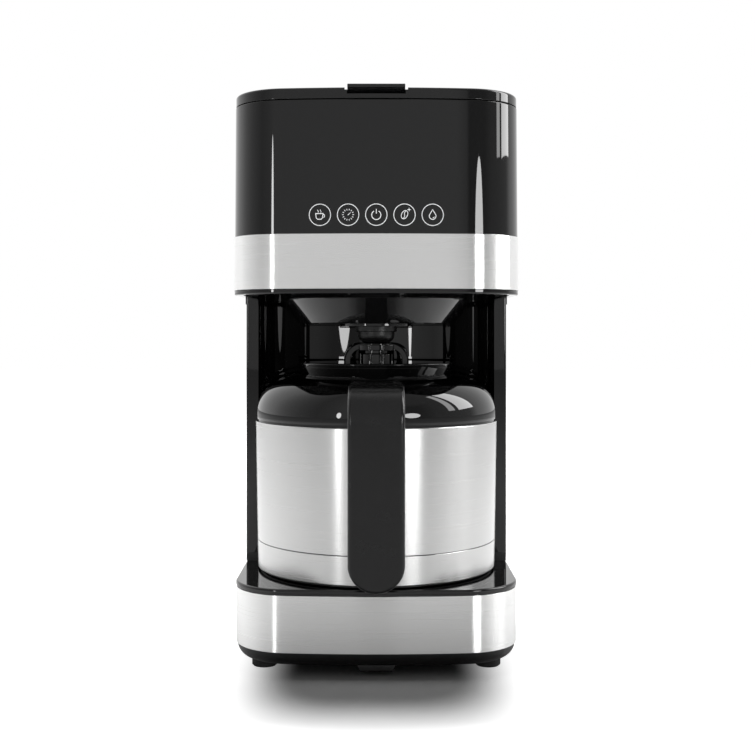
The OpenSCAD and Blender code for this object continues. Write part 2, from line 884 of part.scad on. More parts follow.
key_pitch = 15.9;
key_z = panel_z + 10.5;
board_w = 5 * key_pitch + 16;
board_h = 24;
board_y = front_y + head_wall_in + wall + 5;

module touch_board() {
    color("#1f5a36") union() {
        translate([-board_w / 2, board_y, key_z - board_h / 2]) cube([board_w, 1.6, board_h]);
        translate([-8, board_y + 1, key_z - 9]) cube([12, 2.2, 12]);
        translate([18, board_y + 1, key_z - 8]) cube([9, 2, 6]);
        translate([-30, board_y + 1, key_z - 10]) cube([14, 4.5, 6]);
    }
}

// Spring pads that carry each key's touch to the board
module touch_pads() {
    inner_r = bow_r - head_wall_in - panel_draft - wall;
    color("#c7a04a") for (i = [-2 : 2]) {
        x = i * key_pitch;
        skin_y = bow_y(head_line) - sqrt(pow(inner_r, 2) - pow(abs(x) + 4, 2));
        translate([x, board_y, key_z]) rotate([90, 0, 0]) cylinder(r = 4, h = board_y - skin_y - 0.2);
    }
}

// Frame that holds the board on two bosses behind the panel
module board_carrier() {
    back = board_y + 1.6;
    boss_h = 12;
    skin_in = head_wall_in + panel_draft * (key_z + boss_h / 2 - panel_z) / panel_h + wall;
    color("#2a2a2a") difference() {
        union() {
            translate([-board_w / 2 - 4, back, key_z - board_h / 2 - 3])
                cube([board_w + 8, 1.4, board_h + 6]);
            translate([0, 0, key_z - boss_h / 2]) linear_extrude(boss_h) intersection() {
                for (side = [-1, 1]) translate([side * (board_w / 2 + 2.2) - 1.6, front_y])
                    square([3.2, back + 0.2 - front_y]);
                outline_area(head_line, skin_in);
            }
        }
        translate([-board_w / 2 + 4, back - 1, key_z - board_h / 2 + 2])
            cube([board_w - 8, 4, board_h - 4]);
    }
}

// ---------- funnel, basket and drip stop ----------

module brew_funnel() {
    t = bowl_t;
    tier_r = funnel_lip_r - t;
    disc_r = 23;
    disc_t = 1.4;
    lip_t = 0.5;
    edge = 0.6;
    shelf = basket_z - 2;
    wall_foot = head_z + floor_drop + wall + 1;
    flare = 6;
    color("#0d0d0d") at_jug() rotate_extrude() difference() {
        polygon([[guide_r + 0.4, cone_z - disc_t], [disc_r, cone_z - disc_t], [disc_r, cone_z],
            [cone_foot_r - edge, cone_z], [cone_foot_r, cone_z + edge],
            [funnel_lip_r - lip_t, funnel_z - lip_t], [funnel_lip_r, funnel_z],
            [tier_r, funnel_z + lip_t], [tier_r, wall_foot], [funnel_r - 4, wall_foot + flare],
            [funnel_r, deck_z], [funnel_r + funnel_rim, deck_z], [funnel_r + funnel_rim, deck_z + 1.6],
            [funnel_r - t, deck_z + 1.6], [funnel_r - t - 0.2, shelf], [guide_r + 0.4, shelf]]);
        polygon([[guide_r, cone_z + t - 0.4], [cone_foot_r - t, cone_z + t - 0.4],
            [tier_r - t, funnel_z - 1], [tier_r - t, wall_foot], [funnel_r - t - 5, wall_foot + flare + 1.5],
            [funnel_r - t - 3.2, shelf - 3], [funnel_r - t - 3.2, shelf + 1], [guide_r, shelf + 1]]);
        translate([guide_r - 1, cone_z + t]) square([1.4, far]);
    }
}

basket_r = funnel_r - bowl_t - 0.7;
basket_body_r = funnel_r - bowl_t - 3.7;
ear_x = basket_r - 4;
ear_t = 2.4;
bail_z = basket_z + 2.2;
bail_pin_r = 0.9;

module filter_basket() {
    ribs = 16;
    foot_r2 = 20;
    rim = basket_z - 2;
    throat = web_z + web_t;
    color("#1a1a1a") at_jug() {
        difference() {
            rotate_extrude() polygon([[guide_r - 1.8, guide_z], [guide_r, guide_z], [guide_r, web_z + 3],
                [foot_r2, web_z + 7], [basket_body_r, rim - 5], [basket_body_r, rim], [basket_r, rim],
                [basket_r, basket_z], [basket_body_r - bowl_t, basket_z], [basket_body_r - bowl_t, rim - 6],
                [foot_r2 - bowl_t - 1, web_z + 10], [9, throat], [0, throat], [0, web_z],
                [guide_r - 1.8, web_z]]);
            translate([0, 0, web_z - 1]) cylinder(r = stem_r + slip, h = web_t + 2);
            for (turn = [45 : 90 : 315]) rotate(turn) translate([4.6, 0, web_z - 1])
                cylinder(r = 1.3, h = web_t + 2);
        }
        for (i = [0 : ribs - 1]) rotate(i * 360 / ribs) rotate([90, 0, 0]) translate([0, 0, -0.6])
            linear_extrude(1.2)
                polygon([[foot_r2 - bowl_t - 1, web_z + 9], [basket_body_r - bowl_t + 0.3, rim - 6],
                    [basket_body_r - bowl_t - 1.4, rim - 8], [foot_r2 - bowl_t - 3, web_z + 13]]);
        for (side = [-1, 1]) translate([side * ear_x - ear_t / 2, 0, 0]) rotate([90, 0, 90])
            linear_extrude(ear_t) difference() {
                translate([-3, basket_z - 0.5]) square([6, 4.5]);
                translate([0, bail_z]) circle(bail_pin_r + slip);
            }
    }
}

// Carrying bail, folded back on the basket's rim
module basket_bail() {
    eye_h = 2.6;
    r = ear_x - ear_t / 2 - eye_h / 2 - 0.2;
    color("#232323") at_jug(bail_z) union() {
        rotate_extrude(angle = 180) translate([r, 0]) circle(1.2);
        for (side = [-1, 1]) translate([side * r, 0, 0]) rotate([0, side * 90, 0]) {
            translate([0, 0, -eye_h / 2]) cylinder(r = 1.8, h = eye_h);
            cylinder(r = bail_pin_r, h = eye_h / 2 + ear_t);
        }
    }
}

// Plunger: a bowl-shaped cap below, a stem up through the web and a head that holds the seal
module valve_plunger() {
    cap_r = guide_r - 1.6;
    bowl_r = 5;
    inner_z = cap_z + 2.7;
    head_t = 1.4;
    head = web_z + web_t + valve_travel + 0.1 + seal_t;
    color("#0c0c0c") at_jug() rotate_extrude() polygon(concat([[0, cap_z]],
        arc([cap_r - bowl_r, cap_z + bowl_r], bowl_r, -90, 0, 8),
        [[cap_r, cap_z + cap_h], [cap_r - 1.8, cap_z + cap_h], [cap_r - 2.6, cap_z + bowl_r],
        [cap_r - 5, inner_z], [stem_r, inner_z], [stem_r, head], [stem_r + 1.6, head],
        [stem_r + 1.6, head + head_t], [0, head + head_t]]));
}

module valve_seal() {
    color("#a33c2c") at_jug(web_z + web_t + valve_travel + 0.1) tube(seal_r, stem_r, seal_t);
}

// Points of a ring of the spring's wire
function ring_at(z0, rise, coil_r, turn, sides) =
    [for (k = [0 : sides - 1]) let (a = 360 * k / sides, r = coil_r + wire_r * cos(a))
        [r * cos(turn), r * sin(turn), z0 + rise * turn / 360 + wire_r * sin(a)]];

module valve_spring() {
    sides = 6;
    steps = 16;
    coil_r = stem_r + 2.2;
    z0 = cap_z + 2.7 + wire_r + slip;
    rise = (web_z - wire_r - slip - z0) / spring_turns;
    rings = spring_turns * steps;
    points = [for (i = [0 : rings]) each ring_at(z0, rise, coil_r, i * 360 / steps, sides)];
    skin = [for (i = [0 : rings - 1], k = [0 : sides - 1])
        let (a = i * sides + k, b = i * sides + (k + 1) % sides) [a, a + sides, b + sides, b]];
    ends = [[for (k = [0 : sides - 1]) k], [for (k = [sides - 1 : -1 : 0]) rings * sides + k]];
    color("silver") at_jug() polyhedron(points, concat(skin, ends));
}

// ---------- lid of the machine ----------

tab_notch = 3.1;
scoop_h = 2.8;
scoop_z = top_z - 3.8;

function lid_section() = let (edge_r = 1.6) concat(
    [[-lid_in - lid_skin, lid_z], [-lid_in, lid_z]],
    arc([-lid_in - edge_r, top_z - edge_r], edge_r, 0, 90, 4),
    [[-lid_in - 6, top_z], [-lid_in - 6, top_z - lid_skin], [-lid_in - lid_skin, top_z - lid_skin]]);

module machine_lid() {
    pocket = 14;
    slot = hinge_lug_w + 2 * play;
    color("#0d0d0d") difference() {
        union() {
            difference() {
                outline_ring(head_line, lid_section());
                translate([0, 0, lid_z - 1]) linear_extrude(lid_h + 2) behind(hinge_y - 3);
            }
            translate([0, 0, top_z - lid_skin]) linear_extrude(lid_skin) difference() {
                outline_area(head_line, lid_in + 5);
                behind(hinge_y - 3);
            }
            translate([lid_in - head_half, hinge_y, hinge_z]) rotate([90, 0, 90])
                linear_extrude(2 * (head_half - lid_in)) {
                    circle(knuckle_r);
                    translate([-6, -knuckle_r]) square([6, lid_h]);
                }
            intersection() {
                translate([-tab_w / 2 - 7, front_y, scoop_z - 1.2]) cube([tab_w + 14, pocket, 4]);
                linear_extrude(far) outline_area(head_line, lid_in + 1);
            }
        }
        for (side = [-1, 1]) {
            translate([side * lug_x - slot / 2, hinge_y - knuckle_r - 0.5, lid_z - 1])
                cube([slot, 2 * knuckle_r + 2, lid_h + 2]);
            translate([side * lug_x - 14, hinge_y, hinge_z]) rotate([0, 90, 0])
                cylinder(r = pin_r + slip, h = 28);
        }
        translate([-tab_w / 2 - tab_notch, front_y - 5, top_z - 2.1]) cube([tab_w + 2 * tab_notch, 14, 9]);
        translate([-tab_w / 2 - 1.5, front_y - 5, scoop_z]) cube([tab_w + 3, 12, 9]);
    }
}

// Finger tab in the middle of the lid's front, undercut for a fingertip
module thumb_tab() {
    back = 6.9;
    tip = front_y - tab_reach;
    color("#0b0b0b") union() {
        translate([-tab_w / 2, 0, 0]) rotate([90, 0, 90]) linear_extrude(tab_w)
            polygon([[tip, top_z - 1], [tip, top_z + tab_rise - 0.4], [tip + 0.6, top_z + tab_rise],
                [front_y + back, top_z + tab_rise], [front_y + back, scoop_z],
                [front_y + back - 3, scoop_z], [tip + 1.6, top_z - 1]]);
        for (side = [-1, 1])
            translate([side > 0 ? tab_w / 2 - eps : -tab_w / 2 - 1.4, front_y + 3, scoop_z])
            cube([1.4 + eps, back - 3, scoop_h]);
    }
}

liner_t = 1.6;
pan_r = 22;
arm_half = 6;

module lid_liner() {
    rib_z = lid_z - 3;
    top = top_z - lid_skin;
    color("#202020") difference() {
        union() {
            translate([0, 0, top - liner_t]) linear_extrude(liner_t) difference() {
                outline_area(head_line, lid_in + lid_skin + 0.4);
                behind(hinge_y - knuckle_r - 3);
            }
            at_jug(rib_z) tube(funnel_r - 4, funnel_r - 4 - liner_t, top - rib_z);
        }
        translate([-tab_w, front_y - 1, rib_z]) cube([2 * tab_w, 17, far]);
        translate([0, 0, rib_z - 1]) linear_extrude(top - liner_t - rib_z + 1) pan_plan(slip);
    }
}

// Pan under the lid that leads the hot water to the middle and lets it rain
module shower_plate() {
    pan_z = deck_z + 6;
    pan_t = 1.6;
    hole_r = 1.2;
    pan_top = top_z - lid_skin - liner_t;
    color("#262626") difference() {
        translate([0, 0, pan_z]) linear_extrude(pan_top - pan_z) pan_plan(0);
        translate([0, 0, pan_z + pan_t]) linear_extrude(far) pan_plan(-pan_t);
        at_jug(pan_z - 1) {
            for (i = [0 : 7]) rotate(i * 45) translate([pan_r - 8, 0, 0]) cylinder(r = hole_r, h = pan_t + 2);
            cylinder(r = hole_r, h = pan_t + 2);
        }
        translate([riser_x, riser_y, pan_z - 1]) cylinder(r = arm_half / 2, h = pan_t + 2);
    }
}

// Plan of the pan and its arm, grown by a margin
module pan_plan(grow) {
    span = norm([riser_x, riser_y - jug_y]);
    arm = arm_half + grow;
    translate([0, jug_y]) {
        circle(pan_r + grow);
        rotate(atan2(riser_y - jug_y, riser_x)) {
            translate([0, -arm]) square([span, 2 * arm]);
            translate([span, 0]) circle(arm);
        }
    }
}

module hinge_pins() {
    color("silver") for (side = [-1, 1])
        translate([side * lug_x - 13.5, hinge_y, hinge_z]) rotate([0, 90, 0]) cylinder(r = pin_r, h = 27);
}

// ---------- jug ----------

// Shoulder in section: outer corner arc and flatter crown arc over a plain core
module dome_section(inset) {
    ray = 40 * [cos(crown_angle), sin(crown_angle)];
    foot = shoulder_z - 8;
    intersection() {
        translate([dome_x, dome_z]) circle(dome_r - inset);
        polygon([[dome_x, dome_z], [dome_x + 60, dome_z], [dome_x + 60, dome_z + ray[1]],
            [dome_x, dome_z] + ray]);
    }
    intersection() {
        translate([crown_x, crown_z]) circle(crown_r - inset);
        polygon([[dome_x, dome_z], [dome_x, dome_z] + ray, [crown_x, dome_z + 60], [neck_r - 8, dome_z + 60],
            [neck_r - 8, dome_z]]);
    }
    translate([neck_r - 8, foot]) square([dome_out - inset - neck_r + 8, dome_z - foot]);
}

module jug_shoulder() {
    t = shoulder_t;
    spout_w = 16;
    color("#0b0b0b") at_jug() difference() {
        rotate_extrude() union() {
            difference() {
                dome_section(0);
                dome_section(t);
                translate([neck_r - 9, shoulder_z - 9]) square([9 - t, far]);
            }
            polygon([[neck_r - t, neck_z - 6], [neck_r, neck_z - 1], [neck_r - 0.6, jug_top_z - 0.4],
                [jug_lid_r + play, jug_top_z - 0.4], [jug_lid_r + play, jug_top_z - lid_edge_t - 0.2],
                [neck_r - t - 1, jug_top_z - lid_edge_t - 0.2]]);
            translate([dome_out - 3 * t, shoulder_z - 5]) square([t, 8]);
            translate([dome_out - 3 * t, shoulder_z + 1.4]) square([2 * t + 1, t]);
        }
        rotate_extrude() translate([dome_out - skirt_in, shoulder_z - 9]) square([5, 10.4]);
        translate([-spout_w / 2, neck_r - 12, under_z - 4]) cube([spout_w, 12, 3.8]);
    }
}

module shoulder_seal() {
    color("#b9b9b0") at_jug(liner_lip_z - 3.4)
        tube(neck_r - shoulder_t - 0.7, plug_r + seal_reach + 0.8 + slip, 3);
}

module jug_shell() {
    edge_r = 1;
    t = steel_t;
    foot = jug_r - jug_taper;
    color("silver") at_jug() rotate_extrude() union() {
        polygon([[foot - t, jug_seam_z + 0.15], [foot, jug_seam_z + 0.15], [jug_r, shoulder_z - edge_r],
            [jug_r - t, shoulder_z - edge_r]]);
        translate([jug_r - edge_r, shoulder_z - edge_r]) intersection() {
            difference() {
                circle(edge_r);
                circle(edge_r - t);
            }
            square(edge_r);
        }
        translate([dome_out - skirt_in + slip, shoulder_z - t])
            square([jug_r - edge_r - dome_out + skirt_in - slip + eps, t]);
    }
}

module jug_cup() {
    edge_r = 3;
    t = steel_t;
    top_r = jug_r - jug_taper;
    foot = top_r - 0.4;
    color("silver") at_jug() rotate_extrude() union() {
        polygon([[foot - t, cup_z + edge_r], [foot, cup_z + edge_r], [top_r, jug_seam_z - 0.15],
            [top_r - t, jug_seam_z - 0.15]]);
        translate([foot - edge_r, cup_z + edge_r]) intersection() {
            difference() {
                circle(edge_r);
                circle(edge_r - t);
            }
            translate([0, -edge_r]) square(edge_r);
        }
        translate([0, cup_z]) square([foot - edge_r + eps, t]);
        translate([top_r - 2 * t - 0.2, jug_seam_z - 6]) square([t, 12]);
        translate([top_r - 2 * t - 0.2, jug_seam_z - 6]) square([2 * t - 0.2, t]);
    }
}

liner_t2 = 0.8;
liner_round = 12;
liner_top = shoulder_z - 1.5;

// Quarter of a ring in section, about c
module quarter_ring(c, r, t, quarter) {
    translate(c) intersection() {
        difference() {
            circle(r);
            circle(r - t);
        }
        translate([0, min(quarter, 0) * r]) square(r);
    }
}

// Drawn cup of the vacuum liner
module jug_liner() {
    t = liner_t2;
    color("#c4c6c8") at_jug() rotate_extrude() union() {
        translate([0, liner_z]) square([liner_r - liner_round + eps, t]);
        quarter_ring([liner_r - liner_round, liner_z + liner_round], liner_round, t, -1);
        translate([liner_r - t, liner_z + liner_round]) square([t, liner_top - liner_z - 2 * liner_round]);
    }
}

// Shoulder and neck of the vacuum liner, welded on its cup
module liner_neck() {
    t = liner_t2;
    neck_in = plug_r + seal_reach;
    color("#c4c6c8") at_jug() rotate_extrude() union() {
        quarter_ring([liner_r - liner_round, liner_top - liner_round], liner_round, t, 1);
        translate([neck_in, liner_top - t]) square([liner_r - liner_round - neck_in + eps, t]);
        translate([neck_in, liner_top - t]) square([t, liner_lip_z - liner_top + t]);
    }
}

module jug_foot() {
    ring_r = jug_r - jug_taper - 2.2;
    color("#141414") at_jug(jug_z) rotate_extrude()
        polygon([[ring_r - 12, 0], [ring_r - 0.5, 0], [ring_r, 0.5], [ring_r, foot_ring_h],
            [ring_r - 12, foot_ring_h]]);
}

// ---------- jug handle ----------

// Section of the grip: x across it, y the depth under its outer face
module grip_section(near, away, side_in, near_r, away_r) {
    half = handle_w / 2 - side_in;
    for (side = [-1, 1]) {
        translate([side * (half - near_r), near + near_r]) circle(near_r);
        translate([side * (half - away_r), away - away_r]) circle(away_r);
    }
    translate([near_r - half, near]) square([2 * (half - near_r), near_r]);
    translate([-half, near + near_r]) square([2 * half, away - near - near_r - away_r]);
    translate([away_r - half, away - away_r]) square([2 * (half - away_r), away_r]);
}

// Keeps the handle outside the jug's shoulder
module shoulder_solid() {
    at_jug() rotate_extrude() {
        dome_section(-slip);
        translate([0, 0]) square([neck_r, jug_top_z]);
        translate([0, 0]) square([jug_r + 0.4, shoulder_z + 0.6]);
    }
}

// The section carried from the round tip up the grip, round the bend and along the neck
module handle_form(near, away, side_in, near_r, away_r) {
    tip_z = grip_z + handle_w / 2;
    bend_y = handle_y + handle_bend_r;
    bend_z = handle_top - handle_bend_r;
    translate([0, handle_y, tip_z]) rotate([-90, 0, 0]) rotate_extrude(angle = 180) intersection() {
        grip_section(near, away, side_in, near_r, away_r);
        square([handle_w, 2 * grip_t]);
    }
    translate([0, handle_y, tip_z]) linear_extrude(bend_z - tip_z)
        grip_section(near, away, side_in, near_r, away_r);
    translate([0, bend_y, bend_z]) rotate([90, 0, -90]) rotate_extrude(angle = 90)
        translate([handle_bend_r, 0]) rotate(90) grip_section(near, away, side_in, near_r, away_r);
    translate([0, bend_y, handle_top]) rotate([-90, 0, 0]) linear_extrude(jug_y - bend_y)
        grip_section(near, away, side_in, near_r, away_r);
}

handle_screw_z = [handle_top - 36, grip_z + handle_w];

module jug_handle() {
    color("#0e0e0e") difference() {
        handle_form(0, grip_t - grip_back_t, 0, handle_edge_r, 0.4);
        shoulder_solid();
        for (z = handle_screw_z) translate([0, handle_y + grip_t - grip_back_t - 6, z]) rotate([-90, 0, 0])
            cylinder(r = base_screw_r, h = 8);
    }
}

module handle_back() {
    color("#171717") difference() {
        handle_form(grip_t - grip_back_t, grip_t, 1, 0.3, 1.6);
        shoulder_solid();
        for (z = handle_screw_z) translate([0, handle_y + grip_t - grip_back_t - 1, z]) rotate([-90, 0, 0]) {
            cylinder(r = base_screw_r + 0.2, h = 20);
            translate([0, 0, 1 + grip_back_t - 2]) cylinder(r = screw_head_r + 0.2, h = 20);
        }
    }
}

module handle_screws() {
    color("silver") for (z = handle_screw_z)
        translate([0, handle_y + grip_t - 2, z]) rotate([90, 0, 0])
            screw(base_screw_r, grip_back_t + 2, screw_head_r - 0.1);
}

// ---------- lid of the jug ----------

module jug_lid() {
    edge_r = 0.8;
    color("#0e0e0e") at_jug() difference() {
        rotate_extrude() difference() {
            union() {
                translate([0, under_z]) square([jug_lid_r, lid_edge_t]);
                translate([plug_r - 2.4, plug_z]) square([2.4, plug_h + 1]);
                translate([0, plug_z]) square([plug_r, plug_floor]);
            }
            translate([jug_lid_r - edge_r, jug_top_z - edge_r]) difference() {
                square(edge_r + 1);
                circle(edge_r);
            }
            translate([0, plug_z - 1]) square([valve_hole_r, far]);
            translate([plug_r - groove, plug_z + plug_floor]) square([groove + 1, 2.4]);
        }
        translate([-10, plug_r - 6, plug_z + plug_floor + 3.5]) cube([20, 8, plug_h - plug_floor - 4.5]);
    }
}

// Knob: a fluted core with a dished mouth where the coffee runs in, under a bell
// that is cut open at the front and the back for two fingers
module lid_knob() {
    bell_r = 10.5;
    bell_t = 2.6;
    bell_x = knob_r - 3.1;
    bell_z = knob_z - bell_r;
    grip_y = 7;
    mouth_r = 8.6;
    hole_r = 5.6;
    body_r = knob_r - 1.8;
    throat_r = knob_r - 3.4;
    ring_z = knob_z - 4.3;
    ring_top = knob_z - 0.6;
    color("#0c0c0c") at_jug() difference() {
        union() {
            difference() {
                rotate_extrude() union() {
                    quarter_ring([bell_x, bell_z], bell_r, bell_t, 1);
                    translate([bell_x + bell_r - bell_t, jug_top_z]) square([bell_t, bell_z - jug_top_z]);
                }
                for (side = [-1, 1]) translate([-far / 2, side > 0 ? grip_y : -grip_y - far, jug_top_z - 1])
                    cube([far, far, far]);
            }
            difference() {
                rotate_extrude() polygon([[0, jug_top_z], [body_r, jug_top_z], [body_r, jug_top_z + 5],
                    [throat_r, jug_top_z + 5.6], [throat_r, ring_z], [knob_r, ring_z], [knob_r, ring_top],
                    [bell_x + 0.6, ring_top], [bell_x + 0.6, knob_z], [0, knob_z]]);
                for (i = [0 : flutes - 1]) rotate(270 + (i + 0.5) * 360 / flutes) {
                    translate([body_r + 0.5, 0, jug_top_z]) cylinder(r = 1.3, h = ring_z - jug_top_z);
                    translate([knob_r + 0.2, 0, ring_z - 1]) cylinder(r = 0.7, h = knob_h);
                }
            }
        }
        translate([0, 0, jug_top_z - 1]) cylinder(r = hole_r, h = far);
        translate([0, 0, knob_z - 5]) cylinder(r1 = hole_r, r2 = mouth_r, h = 6);
    }
}

module lid_seal() {
    color("#b9b9b0") at_jug(plug_z + plug_floor + 0.1)
        tube(plug_r + seal_reach - slip, plug_r - groove + slip, 2.2);
}

// Float plate that closes the mouth of the jug once it is full or tipped
module brew_valve() {
    color("#2b2b2b") at_jug(plug_z) union() {
        translate([0, 0, -3.4]) cylinder(r = valve_hole_r + 3, h = 1.6);
        translate([0, 0, -3]) cylinder(r = 2, h = 8);
        translate([0, 0, plug_floor + slip]) for (turn = [0, 60, 120]) rotate(turn)
            translate([-valve_hole_r - 1.5, -0.8, 0]) cube([2 * valve_hole_r + 3, 1.6, 2]);
    }
}

rubber_feet();
bottom_cover();
cover_screws();
base_band();
base_cover();
flow_heater();
heating_element();
heater_clamps();
thermostat();
power_board();
supply_hose();
check_valve();
riser_hose();
riser_nozzle();
cord_gland();
foot_collar();
column_front();
rear_housing();
level_window();
water_tank();
head_floor();
head_band();
head_shell();
inner_deck();
rear_cap();
board_carrier();
touch_board();
touch_pads();
brew_funnel();
filter_basket();
basket_bail();
valve_plunger();
valve_seal();
valve_spring();
machine_lid();
lid_liner();
shower_plate();
thumb_tab();
hinge_pins();
jug_shell();
jug_cup();
jug_liner();
liner_neck();
jug_foot();
jug_shoulder();
shoulder_seal();
jug_handle();
handle_back();
handle_screws();
jug_lid();
lid_knob();
lid_seal();
brew_valve();
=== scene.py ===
"""Drip coffee maker with a brushed-steel thermal jug: its shapes, finishes and studio."""

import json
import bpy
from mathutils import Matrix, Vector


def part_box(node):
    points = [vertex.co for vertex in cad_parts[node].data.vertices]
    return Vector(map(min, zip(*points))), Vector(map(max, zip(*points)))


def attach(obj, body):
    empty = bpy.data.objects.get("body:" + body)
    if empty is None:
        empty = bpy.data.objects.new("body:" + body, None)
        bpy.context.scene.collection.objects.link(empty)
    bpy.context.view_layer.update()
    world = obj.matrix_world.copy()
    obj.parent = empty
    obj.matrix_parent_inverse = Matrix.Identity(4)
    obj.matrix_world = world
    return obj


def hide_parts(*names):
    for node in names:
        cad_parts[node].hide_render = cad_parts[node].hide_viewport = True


bl_info = {
    "name": "Drip Coffee Maker",
    "version": (1, 0, 0),
    "blender": (4, 5, 0),
    "location": "3D View > Sidebar > Coffee Maker",
    "description": "Builds a drip coffee maker with a thermal jug over its packed model",
    "category": "Add Mesh",
}

from math import acos, asin, cos, degrees, hypot, pi, radians, sin, sqrt

import bmesh
import bpy
from bpy.props import FloatProperty, FloatVectorProperty, PointerProperty
from mathutils import Vector

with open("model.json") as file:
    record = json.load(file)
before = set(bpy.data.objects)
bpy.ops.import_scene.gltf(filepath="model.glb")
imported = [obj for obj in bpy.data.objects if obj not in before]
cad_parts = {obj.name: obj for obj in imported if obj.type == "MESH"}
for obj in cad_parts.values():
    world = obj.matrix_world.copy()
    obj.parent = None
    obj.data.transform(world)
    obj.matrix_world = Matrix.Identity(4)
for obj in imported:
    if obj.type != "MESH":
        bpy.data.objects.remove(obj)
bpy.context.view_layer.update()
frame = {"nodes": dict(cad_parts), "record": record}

MM = 0.001


def edge(node, side, axis):
    """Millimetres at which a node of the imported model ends: side 0 is low and 1 is high."""
    return round(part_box(node)[side][axis] / MM, 3)


# Main planes in millimetres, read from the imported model
FRONT = edge("head_band", 0, 1)
REAR = edge("rear_housing", 1, 1)
BAND_END = edge("head_band", 1, 1)
HEAD_HALF = edge("head_band", 1, 0)
BASE_HALF = edge("rear_housing", 1, 0)
CHEEK = edge("column_front", 0, 1)
JUG_Y = (edge("jug_shell", 0, 1) + edge("jug_shell", 1, 1)) / 2
JUG_R = edge("jug_shell", 1, 0)
LUG_DROP = 3.3
FLOOR_Z = edge("bottom_cover", 0, 2) + LUG_DROP
BAND_Z = edge("base_band", 0, 2)
PLATE_Z = edge("foot_collar", 0, 2)
COLUMN_Z = edge("column_front", 0, 2)
COLUMN_TOP = edge("column_front", 1, 2)
HEAD_Z = COLUMN_TOP + 3.8
HEAD_BAND_Z = edge("head_band", 0, 2)
PANEL_Z = edge("head_band", 1, 2)
PANEL_TOP = edge("head_shell", 1, 2)
LID_Z = edge("machine_lid", 0, 2)
LID_TOP = edge("machine_lid", 1, 2)
SEAM_Z = edge("jug_cup", 1, 2)
CUP_Z = edge("jug_cup", 0, 2)
SHOULDER_Z = edge("jug_shell", 1, 2)
JUG_LID_TOP = edge("jug_lid", 1, 2)
KNOB_TOP = edge("lid_knob", 1, 2)
NOZZLE_H = 1.4
CONE_Z = edge("brew_funnel", 0, 2) + NOZZLE_H
FUNNEL_Z = CONE_Z + 15.2

# Round recess in millimetres: its radius, its wall and the wall of the flat cheeks
BAY_R = 77.2
BAY_WALL = 2.0
CHEEK_WALL = 2.4
# Hinge lugs in millimetres: their place across, and half the slot round each
LUG_X = 54
LUG_SLOT = 4.3


# ---------- sizes and colours that a user would change ----------


def length(name, description, default, low=0.0001, high=1.0):
    """A length in metres."""
    return FloatProperty(name=name, description=description, default=default, min=low, max=high,
                         unit="LENGTH", precision=4)


def colour(name, description, default):
    """A linear colour."""
    return FloatVectorProperty(name=name, description=description, default=default, size=3,
                               min=0.0, max=1.0, subtype="COLOR")


def share(name, description, default, high=1.0):
    """A plain number from nought up."""
    return FloatProperty(name=name, description=description, default=default, min=0.0, max=high)


class CoffeeMakerSizes(bpy.types.PropertyGroup):
    bow_radius: length("Bow", "Radius of the shallow bow across the front", 0.52)
    corner_radius: length("Front Corners", "Radius of the front corners", 0.034)
    rear_radius: length("Rear Corners", "Radius of the rear corners", 0.022)
    lip_radius: length("Base Lip", "Rounding of the base's glossy lip", 0.0012)
    lid_radius: length("Lid Edge", "Rounding of the machine's lid", 0.0016)
    handle_bend: length("Handle Bend", "Radius where the handle turns down", 0.02)
    handle_edge: length("Handle Edge", "Rounding of the handle's long edges", 0.0022)
    key_pitch: length("Key Pitch", "Distance between two touch symbols", 0.016)
    key_radius: length("Key Ring", "Outer radius of the ring round a touch symbol", 0.0063)
    key_line: length("Key Line", "Width of the printed lines", 0.00043)


class CoffeeMakerColours(bpy.types.PropertyGroup):
    gloss: colour("Gloss Black", "Polished housings", (0.0030, 0.0030, 0.0032))
    satin: colour("Satin Black", "Satin mouldings", (0.0075, 0.0075, 0.0078))
    # The steel tone carries painted light. It is lifted for the bands, and the jug and its liner take 0.7
    # of it.
    steel: colour("Brushed Steel", "Bands and jug", (0.88, 0.88, 0.875))
    rubber: colour("Rubber", "Feet and cord bush", (0.014, 0.014, 0.014))
    print: colour("Print", "Touch symbols", (0.86, 0.87, 0.88))


class CoffeeMakerStudio(bpy.types.PropertyGroup):
    distance: length("Camera Distance", "From the front of the machine to the camera", 0.679, 0.1, 5.0)
    eye_height: length("Camera Height", "Height of the camera", 0.1952, 0.0, 2.0)
    key_power: share("Overhead Power", "Watts of the overhead soft box", 52.0, 500.0)
    fill: share("Fill", "Brightness of the room on plain surfaces", 0.08, 2.0)


def sizes():
    return bpy.context.scene.coffee_maker_sizes


def colours():
    return bpy.context.scene.coffee_maker_colours


def studio():
    return bpy.context.scene.coffee_maker_studio


# ---------- shapes ----------


# Closes both ends of a shape
BOTH = (True, True)


